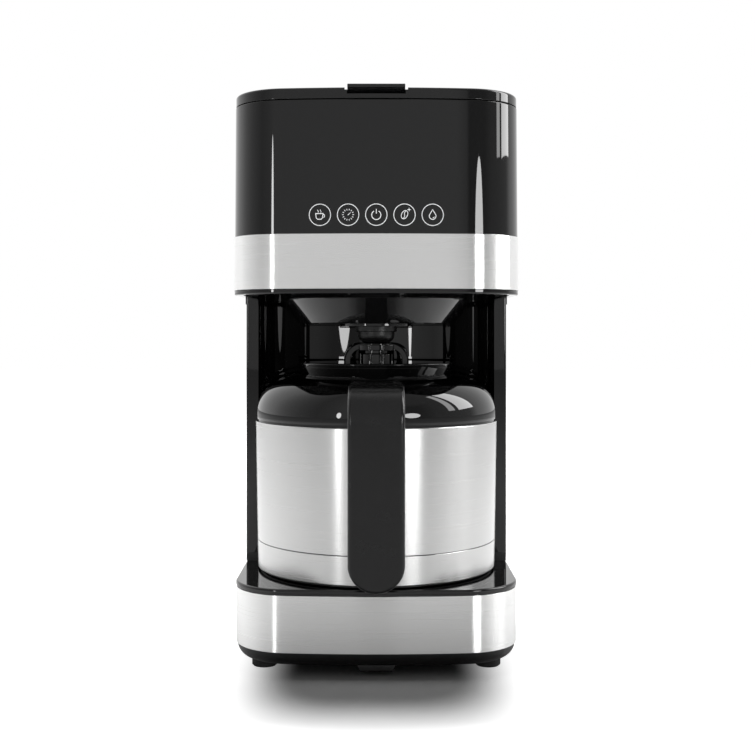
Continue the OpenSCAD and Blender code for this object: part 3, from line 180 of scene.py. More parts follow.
class Shape:
    """Points in millimetres and faces, gathered for one piece."""

    def __init__(self):
        self.points = []
        self.faces = []

    def skin(self, rows, round_rows=True, round_columns=False, caps=(False, False), ends=False):
        """Quads between rows of points. round_rows closes each row and round_columns joins the last
        row to the first. caps close the first and last rows with a face, and ends do so for the
        first and last columns."""
        first = len(self.points)
        width, height = len(rows[0]), len(rows)
        for row in rows:
            self.points.extend(row)
        columns = width if round_rows else width - 1
        for r in range(height if round_columns else height - 1):
            a, b = first + r * width, first + (r + 1) % height * width
            for c in range(columns):
                d = (c + 1) % width
                self.faces.append((a + c, a + d, b + d, b + c))
        if caps[0]:
            self.faces.append(tuple(first + c for c in reversed(range(width))))
        if caps[1]:
            last = first + (height - 1) * width
            self.faces.append(tuple(last + c for c in range(width)))
        if ends:
            for column in (0, width - 1):
                self.faces.append(tuple(first + r * width + column for r in range(height)))
        return self

    def make(self, name, body, node=None, slot="gloss_black", look=None, sharp=38.0, cutters=(),
             bevel=0.0):
        """Makes the piece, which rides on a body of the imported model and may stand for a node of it.
        Its look is the slot's own finish unless another is named."""
        mesh = bpy.data.meshes.new(name)
        mesh.from_pydata([tuple(c * MM for c in p) for p in self.points], [], self.faces)
        piece = bpy.data.objects.new(name, mesh)
        bpy.context.scene.collection.objects.link(piece)
        tidy(mesh)
        if cutters:
            carve(piece, cutters)
            tidy(piece.data)
        shade(piece.data, sharp)
        if bevel:
            soften(piece, bevel)
        piece.data.materials.clear()
        piece.data.materials.append(finish(look or slot))
        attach(piece, body)
        if node:
            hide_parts(node)

    def strip(self, stations, out, back, low, high, radius):
        """A bent strip between two offsets and two heights, which ends at both sides."""
        section = rounded([(out, low), (out, high), (back, high), (back, low)], radius, 3, True)
        return self.skin(swept(stations, section), False, True, ends=True)


def tidy(mesh):
    """Welds points that meet and turns all faces outwards."""
    bm = bmesh.new()
    bm.from_mesh(mesh)
    bmesh.ops.remove_doubles(bm, verts=bm.verts, dist=2e-6)
    bmesh.ops.dissolve_degenerate(bm, edges=bm.edges, dist=1e-6)
    bmesh.ops.recalc_face_normals(bm, faces=bm.faces)
    bm.to_mesh(mesh)
    bm.free()


def shade(mesh, sharp):
    """Smooth shading that breaks at edges sharper than the given angle."""
    bm = bmesh.new()
    bm.from_mesh(mesh)
    for face in bm.faces:
        face.smooth = True
    for line in bm.edges:
        line.smooth = len(line.link_faces) == 2 and line.calc_face_angle(0) < radians(sharp)
    bm.to_mesh(mesh)
    bm.free()


def round_edges(piece, width):
    """A small rounding on the sharp edges."""
    rounding = piece.modifiers.new("rounding", "BEVEL")
    rounding.width = width * MM
    rounding.segments = 2
    rounding.limit_method = "ANGLE"
    rounding.angle_limit = radians(35)
    rounding.use_clamp_overlap = True


def soften(piece, width):
    """Rounded edges, and normals that keep flat faces flat."""
    round_edges(piece, width)
    flat = piece.modifiers.new("flat faces", "WEIGHTED_NORMAL")
    flat.keep_sharp = False
    flat.weight = 100


def carve(piece, cutters):
    """Cuts other shapes, which don't meet each other, out of a piece."""
    points, faces = [], []
    for cutter in cutters:
        faces += [tuple(i + len(points) for i in face) for face in cutter.faces]
        points += [tuple(c * MM for c in p) for p in cutter.points]
    mesh = bpy.data.meshes.new("cutter")
    mesh.from_pydata(points, [], faces)
    tidy(mesh)
    tool = bpy.data.objects.new("cutter", mesh)
    bpy.context.scene.collection.objects.link(tool)
    cut = piece.modifiers.new("cut", "BOOLEAN")
    cut.operation = "DIFFERENCE"
    cut.solver = "EXACT"
    cut.use_self = True
    cut.object = tool
    done = bpy.data.meshes.new_from_object(piece.evaluated_get(bpy.context.evaluated_depsgraph_get()))
    piece.modifiers.remove(cut)
    old = piece.data
    done.name = old.name
    piece.data = done
    bpy.data.objects.remove(tool)
    bpy.data.meshes.remove(mesh)
    bpy.data.meshes.remove(old)


def arc(centre, radius, start, end, steps):
    """Points of an arc in a plane, angles in degrees."""
    turns = [radians(start + (end - start) * i / steps) for i in range(steps + 1)]
    return [(centre[0] + radius * cos(t), centre[1] + radius * sin(t)) for t in turns]


def rounded(path, radius, steps=5, closed=False):
    """The path with its corners rounded. A point may give its own radius as a third number."""
    found = []
    count = len(path)
    for i, point in enumerate(path):
        here = Vector(point[:2])
        r = point[2] if len(point) > 2 else radius
        if r <= 0 or (not closed and i in (0, count - 1)):
            found.append(tuple(here))
            continue
        back, on = Vector(path[i - 1][:2]) - here, Vector(path[(i + 1) % count][:2]) - here
        half = back.angle(on) / 2
        reach = min(r / max(1e-6, abs(sin(half) / cos(half))), 0.48 * min(back.length, on.length))
        r = reach * sin(half) / cos(half)
        middle = here + (back.normalized() + on.normalized()).normalized() * (r / sin(half))
        start, end = here + back.normalized() * reach, here + on.normalized() * reach
        a, b = start - middle, end - middle
        turn = a.angle_signed(b)
        guard = 0.12 * reach
        found.append(tuple(start + back.normalized() * guard))
        for k in range(steps + 1):
            t = -turn * k / steps
            found.append((middle.x + a.x * cos(t) - a.y * sin(t), middle.y + a.x * sin(t) + a.y * cos(t)))
        found.append(tuple(end + on.normalized() * guard))
    return found


def outline(half):
    """Stations round the body from the left end of the band, counter-clockwise:
    (centre x, centre y, radius, angle). Returns the front part and the rear part."""
    bow, corner, back = (s / MM for s in (sizes().bow_radius, sizes().corner_radius, sizes().rear_radius))
    reach = half - corner
    turn = degrees(asin(reach / (bow - corner)))
    centre_y = FRONT + bow
    corner_y = centre_y - (bow - corner) * cos(radians(turn))

    def bend(x, y, r, start, end, steps):
        return [(x, y, r, radians(start + (end - start) * i / steps)) for i in range(steps + 1)]

    def side(sign, start, end, steps):
        angle = 0.0 if sign > 0 else pi
        places = [start + (end - start) * i / steps for i in range(steps + 1)]
        return [(sign * reach, y, corner, angle) for y in places]

    front_part = (
        side(-1, BAND_END, corner_y, 6)[:-1]
        + bend(-reach, corner_y, corner, 180, 270 - turn, 28)[:-1]
        + bend(0, centre_y, bow, 270 - turn, 270 + turn, 40)
        + bend(reach, corner_y, corner, 270 + turn, 360, 28)[1:]
        + side(1, corner_y, BAND_END, 6)[1:]
    )
    rear_part = (
        side(1, BAND_END, REAR - back, 2)[:-1]
        + bend(half - back, REAR - back, back, 0, 90, 20)
        + bend(back - half, REAR - back, back, 90, 180, 20)
        + side(-1, REAR - back, BAND_END, 2)[1:]
    )
    return front_part, rear_part


def along(stations, offset, z):
    """A row of points that stands off the stations' line by an offset."""
    return [(x + (r + offset) * cos(a), y + (r + offset) * sin(a), z) for x, y, r, a in stations]


def swept(stations, section):
    """Rows for a section of (offset, height) that is carried along the stations."""
    return [along(stations, offset, z) for offset, z in section]


def all_round(half):
    """The stations right round the body."""
    front_part, rear_part = outline(half)
    return front_part + rear_part[1:-1]


def raised(plan, *heights):
    """Rows that repeat a plan at each height."""
    return [[(x, y, z) for x, y in plan] for z in heights]


def crosswise(side, *places):
    """Rows that repeat a side view of (depth, height) at each place across."""
    return [[(x, y, z) for y, z in side] for x in places]


def turned(profile, steps=200, centre=None):
    """Rows for a profile of (radius, height) turned round the jug's axis."""
    x0, y0 = centre or (0.0, JUG_Y)
    turns = [2 * pi * i / steps for i in range(steps)]
    return [[(x0 + r * cos(t), y0 + r * sin(t), z) for t in turns] for r, z in profile]


def block(low, high):
    """A plain block, used as a cutter or as a small rib."""
    (a, b, c), (d, e, f) = low, high
    return Shape().skin(raised([(a, b), (d, b), (d, e), (a, e)], c, f), caps=BOTH)


def peg(x, y, z, radius, height, along_y=False, steps=32):
    """A round peg, upright or lying along the depth."""
    ring = arc((0, 0), radius, 0, 360, steps)[:-1]
    if along_y:
        rows = [[(x + a, y + d, z + b) for a, b in ring] for d in (0, height)]
    else:
        rows = [[(x + a, y + b, z + d) for a, b in ring] for d in (0, height)]
    return Shape().skin(rows, caps=BOTH)


# ---------- finishes ----------


def put(node, **values):
    """Sets inputs of a node by name, with _ where the name has a space."""
    for name, value in values.items():
        node.inputs[name.replace("_", " ")].default_value = value


class Nodes:
    """Makes and links the nodes of one tree."""

    def __init__(self, tree):
        self.tree = tree

    def node(self, kind, **settings):
        made = self.tree.nodes.new(kind)
        for name, value in settings.items():
            setattr(made, name, value)
        return made

    def link(self, output, socket):
        self.tree.links.new(output, socket)

    def wired(self, kind, *sources, **settings):
        """The first output of a new node. Its first inputs take the sources: an output, a number, or
        None to leave one alone."""
        made = self.node(kind, **settings)
        for socket, source in zip(made.inputs, sources):
            if isinstance(source, float):
                socket.default_value = source
            elif source is not None:
                self.link(source, socket)
        return made.outputs[0]

    def math(self, operation, *sources):
        return self.wired("ShaderNodeMath", *sources, operation=operation)

    def parts(self, vector):
        """The three numbers of a vector."""
        return self.wired("ShaderNodeSeparateXYZ", vector).node.outputs

    def ramp(self, source, stops):
        """A colour that follows the source through stops of (place, colour)."""
        output = self.wired("ShaderNodeValToRGB", source)
        elements = output.node.color_ramp.elements
        while len(elements) < len(stops):
            elements.new(0.5)
        for element, (place, tone) in zip(elements, stops):
            element.position = place
            element.color = (*tone, 1)
        return output


class Finish(Nodes):
    """Nodes of one material."""

    def __init__(self, name):
        self.material = bpy.data.materials.new(name)
        self.material.use_nodes = True
        super().__init__(self.material.node_tree)
        self.shader = self.tree.nodes["Principled BSDF"]
        self.place = self.node("ShaderNodeTexCoord").outputs["Object"]

    def set(self, **values):
        put(self.shader, **values)

    def noise(self, scale, detail=3.0, stretch=None, roughness=0.5):
        """Noise at a scale per metre, drawn out along an axis where stretch says so."""
        place = self.place
        if stretch:
            mapping = self.node("ShaderNodeMapping")
            put(mapping, Scale=stretch)
            self.link(place, mapping.inputs["Vector"])
            place = mapping.outputs["Vector"]
        made = self.node("ShaderNodeTexNoise")
        put(made, Scale=scale, Detail=detail, Roughness=roughness)
        self.link(place, made.inputs["Vector"])
        return made.outputs["Fac"]

    def spread(self, source, socket, low, high):
        """Drives a number of the shader between two values."""
        result = self.wired("ShaderNodeMapRange", source, 0.3, 0.7, low, high)
        self.link(result, self.shader.inputs[socket])

    def tint(self, source, dark, light):
        """Drives the base colour between two colours."""
        self.link(self.ramp(source, [(0.3, dark), (0.7, light)]), self.shader.inputs["Base Color"])

    def bump(self, source, strength, distance):
        made = self.node("ShaderNodeBump")
        put(made, Strength=strength, Distance=distance)
        self.link(source, made.inputs["Height"])
        self.link(made.outputs["Normal"], self.shader.inputs["Normal"])


def shades(tone, dark, light):
    """A darker and a lighter shade of a tone."""
    return [c * dark for c in tone], [c * light for c in tone]


def surface(name, tone, mottle, rough, grain=None, **settings):
    """A material from three noises, each given as scale, detail and two levels: shares of the tone,
    roughnesses, and the strength and depth of a fine relief."""
    made = Finish(name)
    made.set(**settings)
    made.tint(made.noise(*mottle[:2]), *shades(tone, *mottle[2:]))
    made.spread(made.noise(*rough[:2]), "Roughness", *rough[2:])
    if grain:
        made.bump(made.noise(*grain[:2]), *grain[2:])
    return made.material


def gloss_plastic(name, tone):
    """Polished black plastic with the faint waviness of a moulding."""
    return surface(name, tone, (14, 2, 0.92, 1.08), (60, 4, 0.012, 0.03), (16, 1, 0.02, 0.0003), IOR=1.5)


def satin_plastic(name, tone, roughness=0.38, index=1.48):
    """Moulded plastic with a fine spark-eroded grain."""
    rough = (90, 4, roughness - 0.05, roughness + 0.05)
    return surface(name, tone, (30, 2, 0.9, 1.1), rough, (4200, 2, 0.16, 0.00006), IOR=index)


def brushed_steel(name, tone, roughness=0.25, dull=0.03, grain=1.0):
    """Steel with fine level brush lines that spread its highlights up and down."""
    made = Finish(name)
    made.set(Metallic=1.0, Anisotropic=grain, Anisotropic_Rotation=0.25)
    fine = made.noise(1.0, 3, (9, 9, 6500), 0.6)
    broad = made.noise(1.0, 2, (2, 2, 700), 0.5)
    lines = made.math("MULTIPLY_ADD", fine, 0.65, made.math("MULTIPLY", broad, 0.35))
    made.tint(lines, *shades(tone, 0.98, 1.02))
    made.spread(lines, "Roughness", roughness, roughness + dull)
    made.bump(fine, 0.02, 0.00003)
    tangent = made.wired("ShaderNodeTangent", direction_type="RADIAL", axis="Z")
    made.link(tangent, made.shader.inputs["Tangent"])
    return made.material


def plain_metal(name, tone, roughness):
    """Drawn or plated metal."""
    rough = (400, 4, roughness, roughness + 0.12)
    return surface(name, tone, (120, 3, 0.9, 1.08), rough, (1800, 2, 0.08, 0.00004), Metallic=1.0)


def soft_rubber(name, tone, roughness=0.75):
    """Dull rubber or silicone."""
    rough = (300, 4, roughness - 0.08, roughness + 0.08)
    return surface(name, tone, (60, 3, 0.85, 1.15), rough, (2600, 3, 0.3, 0.00008))


def printed_ink(name, tone):
    """Screen-printed ink with a painted glow: an emission that makes it brighter than the light on it."""
    # Painted light: the ink's emission brightens it though it is no lamp.
    return surface(name, tone, (500, 3, 0.96, 1.0), (900, 3, 0.4, 0.5),
                   Emission_Color=(*tone, 1.0), Emission_Strength=0.6)


def clear_plastic(name, tone, alpha):
    """Clear or smoky plastic."""
    rough = (200, 3, 0.06, 0.12)
    return surface(name, tone, (40, 2, 0.95, 1.05), rough, (50, 1, 0.05, 0.0002), IOR=1.5, Alpha=alpha)


def circuit_board(name):
    """Green board with lighter tracks."""
    made = Finish(name)
    made.tint(made.noise(900, 1), (0.006, 0.05, 0.02), (0.02, 0.14, 0.06))
    made.spread(made.noise(500, 3), "Roughness", 0.25, 0.45)
    made.bump(made.noise(900, 1), 0.2, 0.0001)
    return made.material


def finish(slot):
    """The material of a slot or of a look of its own, made once."""
    name = slot + "_finish"
    if name in bpy.data.materials:
        return bpy.data.materials[name]
    gloss, satin, steel, rubber, ink = (
        tuple(getattr(colours(), tone)) for tone in ("gloss", "satin", "steel", "rubber", "print"))
    # Painted light: the bands use the lifted steel tone. The jug and liner use the plain steel, 0.7 of
    # it.
    plain_steel = tuple(c * 0.7 for c in steel)
    recipes = {
        "gloss_black": lambda: gloss_plastic(name, gloss),
        "satin_black": lambda: satin_plastic(name, satin),
        "handle_black": lambda: satin_plastic(name, satin, 0.24, 1.42),
        "brushed_steel": lambda: brushed_steel(name, steel),
        "jug_steel": lambda: brushed_steel(name, plain_steel, 0.25, 0.03, 0.86),
        "liner_steel": lambda: brushed_steel(name, plain_steel, 0.2, 0.06),
        "screw_steel": lambda: plain_metal(name, (0.58, 0.58, 0.6), 0.24),
        "element_steel": lambda: plain_metal(name, (0.3, 0.28, 0.26), 0.4),
        "aluminium": lambda: plain_metal(name, (0.66, 0.67, 0.69), 0.34),
        "rubber": lambda: soft_rubber(name, rubber),
        "silicone": lambda: soft_rubber(name, (0.55, 0.55, 0.52), 0.55),
        "bakelite": lambda: satin_plastic(name, (0.06, 0.03, 0.018), 0.45),
        "circuit_board": lambda: circuit_board(name),
        "brass": lambda: plain_metal(name, (0.6, 0.42, 0.16), 0.25),
        "clear_window": lambda: clear_plastic(name, (0.62, 0.68, 0.72), 0.45),
        "tank_plastic": lambda: clear_plastic(name, (0.035, 0.045, 0.055), 0.92),
        "print": lambda: printed_ink(name, ink),
    }
    return recipes[slot]()


# ---------- operators ----------


# Brightness of the room at a turn from the camera's side towards +X
ROOM_LEVELS = (
    (-180, 1.1), (-115, 1.1), (-100, 0.85), (-80, 0.6), (-58, 0.4), (-42, 0.5), (-30, 0.62), (-15, 0.62),
    (15, 0.66), (16.5, 0.25), (44, 0.26), (60, 0.4), (100, 0.45), (112, 1.0), (180, 1.1),
)
# Brightness of the room at a share of the way up to overhead, where that is the greater
ROOM_ABOVE = ((0.0, 0.0), (0.17, 0.0), (0.45, 0.4), (0.75, 0.4), (1.0, 0.95))
# Upright lamps: name, turns of both sides, heights of both ends, brightness, and shape if not a
# rectangle
STRIPS = (
    ("left_strip", -38.2, -33.6, 0.14, 0.57, 16.0, "ELLIPSE"),
    ("right_flame", 25.5, 42.5, 0.16, 0.53, 12.2, "ELLIPSE"),
    ("window_near", 74.5, 82.5, 0.52, 2.3, 5.0),
    ("window_far", 87.0, 108.5, 0.52, 2.3, 8.5),
)


class MakerOperator:
    """What all operators of this add-on share."""

    bl_options = {"REGISTER", "UNDO"}


class COFFEE_OT_studio(MakerOperator, bpy.types.Operator):
    """Sets the camera, the pale floor, the soft lights and the white room"""

    bl_idname = "coffee.studio"
    bl_label = "Studio"

    def execute(self, context):
        self.camera(context)
        self.floor(context)
        self.room(context)
        self.lamps(context)
        return {"FINISHED"}

    def camera(self, context):
        picture, focal = 755.0, 1200.0
        middle, horizon = 376.3, 335.0
        lens = bpy.data.cameras.new("camera")
        lens.sensor_width = 36.0
        lens.lens = focal / picture * lens.sensor_width
        lens.shift_x = (picture / 2 - middle) / picture
        lens.shift_y = (horizon - picture / 2) / picture
        lens.clip_start = 0.01
        lens.clip_end = 50.0
        camera = bpy.data.objects.new("camera", lens)
        camera.location = (0.0, FRONT * MM - studio().distance, studio().eye_height)
        camera.rotation_euler = (pi / 2, 0.0, 0.0)
        context.scene.collection.objects.link(camera)
        context.scene.camera = camera
        context.scene.view_settings.view_transform = "Standard"

    def floor(self, context):
        half = 6.0
        mesh = bpy.data.meshes.new("floor")
        corners = [(-half, -half, 0), (half, -half, 0), (half, half, 0), (-half, half, 0)]
        mesh.from_pydata(corners, [], [(0, 1, 2, 3)])
        floor = bpy.data.objects.new("floor", mesh)
        context.scene.collection.objects.link(floor)
        made = Finish("floor")
        made.set(Roughness=0.9, Specular_IOR_Level=0.0)
        made.tint(made.noise(3, 2), (0.78, 0.78, 0.78), (0.8, 0.8, 0.8))
        paint = made.shader.inputs["Base Color"].links[0].from_socket

        def fade(source, start, end, first, last):
            numbers = (start, end, first, last)
            return made.wired("ShaderNodeMapRange", source, *numbers, interpolation_type="SMOOTHSTEP")

        # How far a spot lies from the machine's middle line, which counts less close to the line
        math = made.math
        x, y, _ = made.parts(made.place)
        beside = math("DIVIDE", math("MULTIPLY", x, x), 0.066)
        beyond = math("SUBTRACT", y, math("MINIMUM", math("MAXIMUM", y, FRONT * MM), 0.06))
        far = math("SQRT", math("MULTIPLY_ADD", beside, beside, math("MULTIPLY", beyond, beyond)))
        # The floor's own light is held back close to the machine. That draws the soft fall-off of a
        # painted shadow round it. The light is weaker where the lamp reaches, and lights the far floor
        # alone. Mirrors see it dimmer.
        # Close by they see painted shade: still less glow, and a darker floor colour.
        painted_shadow_glow = math("SUBTRACT", fade(far, 0.03, 0.104, 0.0, 0.97), fade(far, 0.11, 0.2, 0.0, 0.5))
        own_light = math("ADD", painted_shadow_glow, fade(far, 0.5, 1.2, 0.0, 0.5))
        path = made.node("ShaderNodeLightPath").outputs
        # Painted shade for mirrors: this share is 1 close to the machine and 0 far off.
        near = fade(far, 0.15, 0.9, 1.0, 0.0)
        mirrored = math("MULTIPLY", path["Is Glossy Ray"], math("MULTIPLY_ADD", near, 0.15, 0.7))
        seen = math("SUBTRACT", math("SUBTRACT", 1.0, path["Is Diffuse Ray"]), mirrored)
        glow = made.wired("ShaderNodeEmission", None, math("MULTIPLY", own_light, seen))
        # Painted shade: to mirrors the floor's colour darkens close to the machine.
        painted_shade_mix = made.node("ShaderNodeMix", data_type="RGBA")
        made.link(math("MULTIPLY", path["Is Glossy Ray"], math("MULTIPLY", near, 0.22)), painted_shade_mix.inputs[0])
        made.link(paint, painted_shade_mix.inputs[6])
        painted_shade_mix.inputs[7].default_value = (0, 0, 0, 1)
        made.link(painted_shade_mix.outputs[2], made.shader.inputs["Base Color"])
        both = made.wired("ShaderNodeAddShader", made.shader.outputs[0], glow)
        made.link(both, made.tree.nodes["Material Output"].inputs["Surface"])
        mesh.materials.append(made.material)

    def room(self, context):
        """White to the camera, and to mirrors a studio that is darker beside the camera."""
        world = bpy.data.worlds.new("room")
        world.use_nodes = True
        context.scene.world = world
        made = Nodes(world.node_tree)
        math = made.math
        x, y, z = made.parts(made.node("ShaderNodeTexCoord").outputs["Generated"])
        turn = math("ARCTAN2", x, math("MULTIPLY", y, -1.0))
        round_share = math("MULTIPLY_ADD", turn, 0.5 / pi, 0.5)
        levels = [(0.5 + degree / 360, (value,) * 3) for degree, value in ROOM_LEVELS]
        level = made.ramp(round_share, levels)
        up_share = math("MULTIPLY", math("ARCSINE", z), 2 / pi)
        above = made.ramp(up_share, [(place, (value,) * 3) for place, value in ROOM_ABOVE])
        most = math("MAXIMUM", level, above)
        path = made.node("ShaderNodeLightPath").outputs
        mirror = made.wired("ShaderNodeMix", path["Is Glossy Ray"], None, studio().fill, most)
        straight = math("MAXIMUM", path["Is Camera Ray"], path["Is Transmission Ray"])
        seen = made.wired("ShaderNodeMix", straight, None, mirror, 1.0)
        background = made.tree.nodes["Background"]
        put(background, Color=(1, 1, 1, 1))
        made.link(seen, background.inputs["Strength"])

    def lamp(self, context, name, place, target, size, level, shape="RECTANGLE"):
        """A soft box of a given brightness, which looks at a point of the machine."""
        light = bpy.data.lights.new(name, "AREA")
        light.shape = shape
        light.size, light.size_y = size
        area = size[0] * size[1] * (pi / 4 if shape == "ELLIPSE" else 1.0)
        light.energy = level * pi * area
        lamp = bpy.data.objects.new(name, light)
        lamp.location = place
        lamp.rotation_euler = (Vector(target) - Vector(place)).to_track_quat("-Z", "Y").to_euler()
        context.scene.collection.objects.link(lamp)
        return lamp

    def strip(self, context, name, low_turn, high_turn, low, high, level, shape="RECTANGLE"):
        """An upright lamp between two turns off the camera's side, which only gloss and metal show."""
        reach = 1.5
        turn = radians((low_turn + high_turn) / 2)
        width = reach * radians(high_turn - low_turn)
        front = FRONT * MM
        middle = (low + high) / 2
        place = (reach * sin(turn), front - reach * cos(turn), middle)
        lamp = self.lamp(context, name, place, (0, front, middle), (width, high - low), level, shape)
        lamp.visible_diffuse = False

    def lamps(self, context):
        width, depth = 0.26, 0.4
        height, behind = 2.0, 0.5
        level = studio().key_power / (pi * width * depth)
        overhead = self.lamp(
            context, "overhead", (0, behind, height), (0, behind, 0), (width, depth), level)
        overhead.visible_glossy = False
        for name, *spec in STRIPS:
            self.strip(context, name, *spec)


class COFFEE_OT_base(MakerOperator, bpy.types.Operator):
    """Builds the base: skirt and floor, glossy plate with its lip, and steel band"""

    bl_idname = "coffee.base"
    bl_label = "Base"

    def execute(self, context):
        stations = all_round(BASE_HALF)
        front_part, rear_part = outline(BASE_HALF)
        lip = sizes().lip_radius / MM
        lip_z = PLATE_Z - 2.5
        under = rounded([
            (-3.4, lip_z, 0), (-3.4, BAND_Z), (-1.0, BAND_Z), (-1.0, lip_z, 0), (0, lip_z, 0.3),
            (0, PLATE_Z, lip), (-6, PLATE_Z)], 0.2)
        top = Shape().skin(swept(stations, [(-6, lip_z)] + under), caps=BOTH)
        top.strip(rear_part, -0.3, -1.6, BAND_Z, lip_z, 0.15)
        gland_x, gland_z, gland_r = -50.0, 25.0, 8.55
        top.make("base_plate", "machine", "base_cover",
                 cutters=[peg(gland_x, REAR - 6, gland_z, gland_r, 10, True, 48)])
        self.skirt(stations)
        steel_band("base_steel", -0.3, BAND_Z, PLATE_Z - 3.6, front_part, "base_band")
        return {"FINISHED"}

    def skirt(self, stations):
        turn = BAND_Z - FLOOR_Z
        mid = (-1.0 - turn, BAND_Z)
        outer = arc(mid, turn, 0, -90, 14)
        inner = arc(mid, turn - 2.4, -90, 0, 10)
        section = [(-14, FLOOR_Z + 2.4)] + inner + [(-1.6, BAND_Z)] + outer + [(-14, FLOOR_Z)]
        body = Shape().skin(swept(stations, section), caps=BOTH)
        places = [(x, FRONT + 19) for x in (-48, 48)] + [(x, REAR - 14) for x in (-60, 60)]
        hole = 3.2
        cutters = [peg(x, y, FLOOR_Z - 1, hole, 5) for x, y in places]
        cutters += [block((7 * i - 1, REAR - 60, FLOOR_Z - 1), (7 * i + 1, REAR - 34, FLOOR_Z + 4))
                    for i in range(-4, 5)]
        boss = [(hole, FLOOR_Z + 0.6), (hole, FLOOR_Z + 5), (4, FLOOR_Z + 5), (4, FLOOR_Z + 0.6)]
        for place in places:
            body.skin(turned(boss, 32, place), round_columns=True)
        body.make("base_skirt", "machine", "bottom_cover", "satin_black", cutters=cutters)
        y, depth = FRONT + 6.8, 12
        rows = [[(-half, y, z), (half, y, z), (half, y + depth, z), (-half, y + depth, z)]
                for half, z in ((11.5, FLOOR_Z + 0.6), (9.5, FLOOR_Z - LUG_DROP))]
        Shape().skin(rows, caps=BOTH).make("front_lug", "machine", slot="satin_black", bevel=0.6)


def steel_band(name, offset, low, high, stations, node):
    """A bent strip of steel that ends at both sides."""
    thickness = 0.7
    strip = Shape().strip(stations, offset, offset - thickness, low, high, 0.16)
    strip.make(name, "machine", node, "brushed_steel")


def bay_arc(radius, front, steps):
    """Plan of the round recess, from a straight front at its left to the right."""
    turn = degrees(asin((front - JUG_Y) / radius))
    return arc((0, JUG_Y), radius, 180 - turn, turn, steps)


class COFFEE_OT_column(MakerOperator, bpy.types.Operator):
    """Builds the column: rounded recess with its two flat cheeks"""

    bl_idname = "coffee.column"
    bl_label = "Column"

    def execute(self, context):
        fillet = 1.2
        face = bay_arc(BAY_R, CHEEK, 120)
        back = bay_arc(BAY_R + BAY_WALL, CHEEK + CHEEK_WALL, 120)[::-1]
        corner = arc((BASE_HALF - fillet, CHEEK + fillet), fillet, -90, 0, 6)
        right = [(face[-1][0] + 0.4, CHEEK)] + corner + [(BASE_HALF, CHEEK + CHEEK_WALL)]
        left = [(-x, y) for x, y in reversed(right)]
        rows = raised(face + right + back + left, COLUMN_Z, COLUMN_TOP)
        Shape().skin(rows, caps=BOTH).make("column_skin", "machine", "column_front", sharp=30)
        return {"FINISHED"}


class COFFEE_OT_head(MakerOperator, bpy.types.Operator):
    """Builds the head: glossy panel, steel band, black rim and its floor"""

    bl_idname = "coffee.head"
    bl_label = "Head"

    def execute(self, context):
        stations = all_round(HEAD_HALF)
        front_part, rear_part = outline(HEAD_HALF)
        steel_band("head_steel", 0, HEAD_BAND_Z, PANEL_Z, front_part, "head_band")
        ledge = PANEL_TOP - 15.5
        wall = rounded([
            (-0.8, HEAD_BAND_Z), (-0.8, PANEL_Z, 0), (-1.3, PANEL_TOP, 0.5), (-3.7, PANEL_TOP, 0.3),
            (-3.7, ledge), (-6.1, ledge), (-6.1, ledge - 1.6), (-3.2, ledge - 5), (-3.2, HEAD_BAND_Z)],
            0.2, 3, True)
        panel = Shape().skin(swept(stations, wall), round_columns=True)
        panel.make("head_panel", "machine", "head_shell")
        rear = Shape().strip(rear_part, -0.1, -1.5, HEAD_BAND_Z, PANEL_Z, 0.3)
        rear.make("head_back", "machine")
        self.rim(stations)
        return {"FINISHED"}

    def rim(self, stations):
        hole = 57.0
        floor, roof = HEAD_Z + 1.9, HEAD_Z + 4.3

        def circle(z):
            spots = [(x, y - JUG_Y) for x, y, _ in along(stations, 0, z)]
            return [(hole * x / hypot(x, y), JUG_Y + hole * y / hypot(x, y), z) for x, y in spots]

        outer = rounded([(-6, HEAD_BAND_Z, 0), (-0.5, HEAD_BAND_Z), (-0.5, HEAD_Z, 1.0),
                         (-6, HEAD_Z, 0.4), (-6, floor, 0)], 0.2, 6)
        rows = swept(stations, outer) + [circle(floor), circle(roof), along(stations, -6, roof)]
        Shape().skin(rows, round_columns=True).make("head_rim", "machine", "head_floor")
        proud = 0.6
        outer_loop = collar_loop(BAY_R, proud, CHEEK - proud, 1.8)
        inner_loop = collar_loop(BAY_R + BAY_WALL, -CHEEK_WALL, CHEEK + CHEEK_WALL, 0.01)
        rows = raised(outer_loop, COLUMN_TOP, floor + 1) + raised(inner_loop, floor + 1, COLUMN_TOP)
        Shape().skin(rows, round_columns=True).make("head_collar", "machine", sharp=30)


def collar_loop(recess, proud, front, fillet):
    """Plan of a collar round the column: along the recess, round a cheek, round the back and home."""
    rear_r = sizes().rear_radius / MM
    side = BASE_HALF + proud
    path = bay_arc(recess, front, 100)
    path += arc((side - fillet, front + fillet), fillet, -90, 0, 6)
    path += arc((BASE_HALF - rear_r, REAR - rear_r), rear_r + proud, 0, 90, 16)
    path += arc((rear_r - BASE_HALF, REAR - rear_r), rear_r + proud, 90, 180, 16)
    path += arc((fillet - side, front + fillet), fillet, 180, 270, 6)
    return path


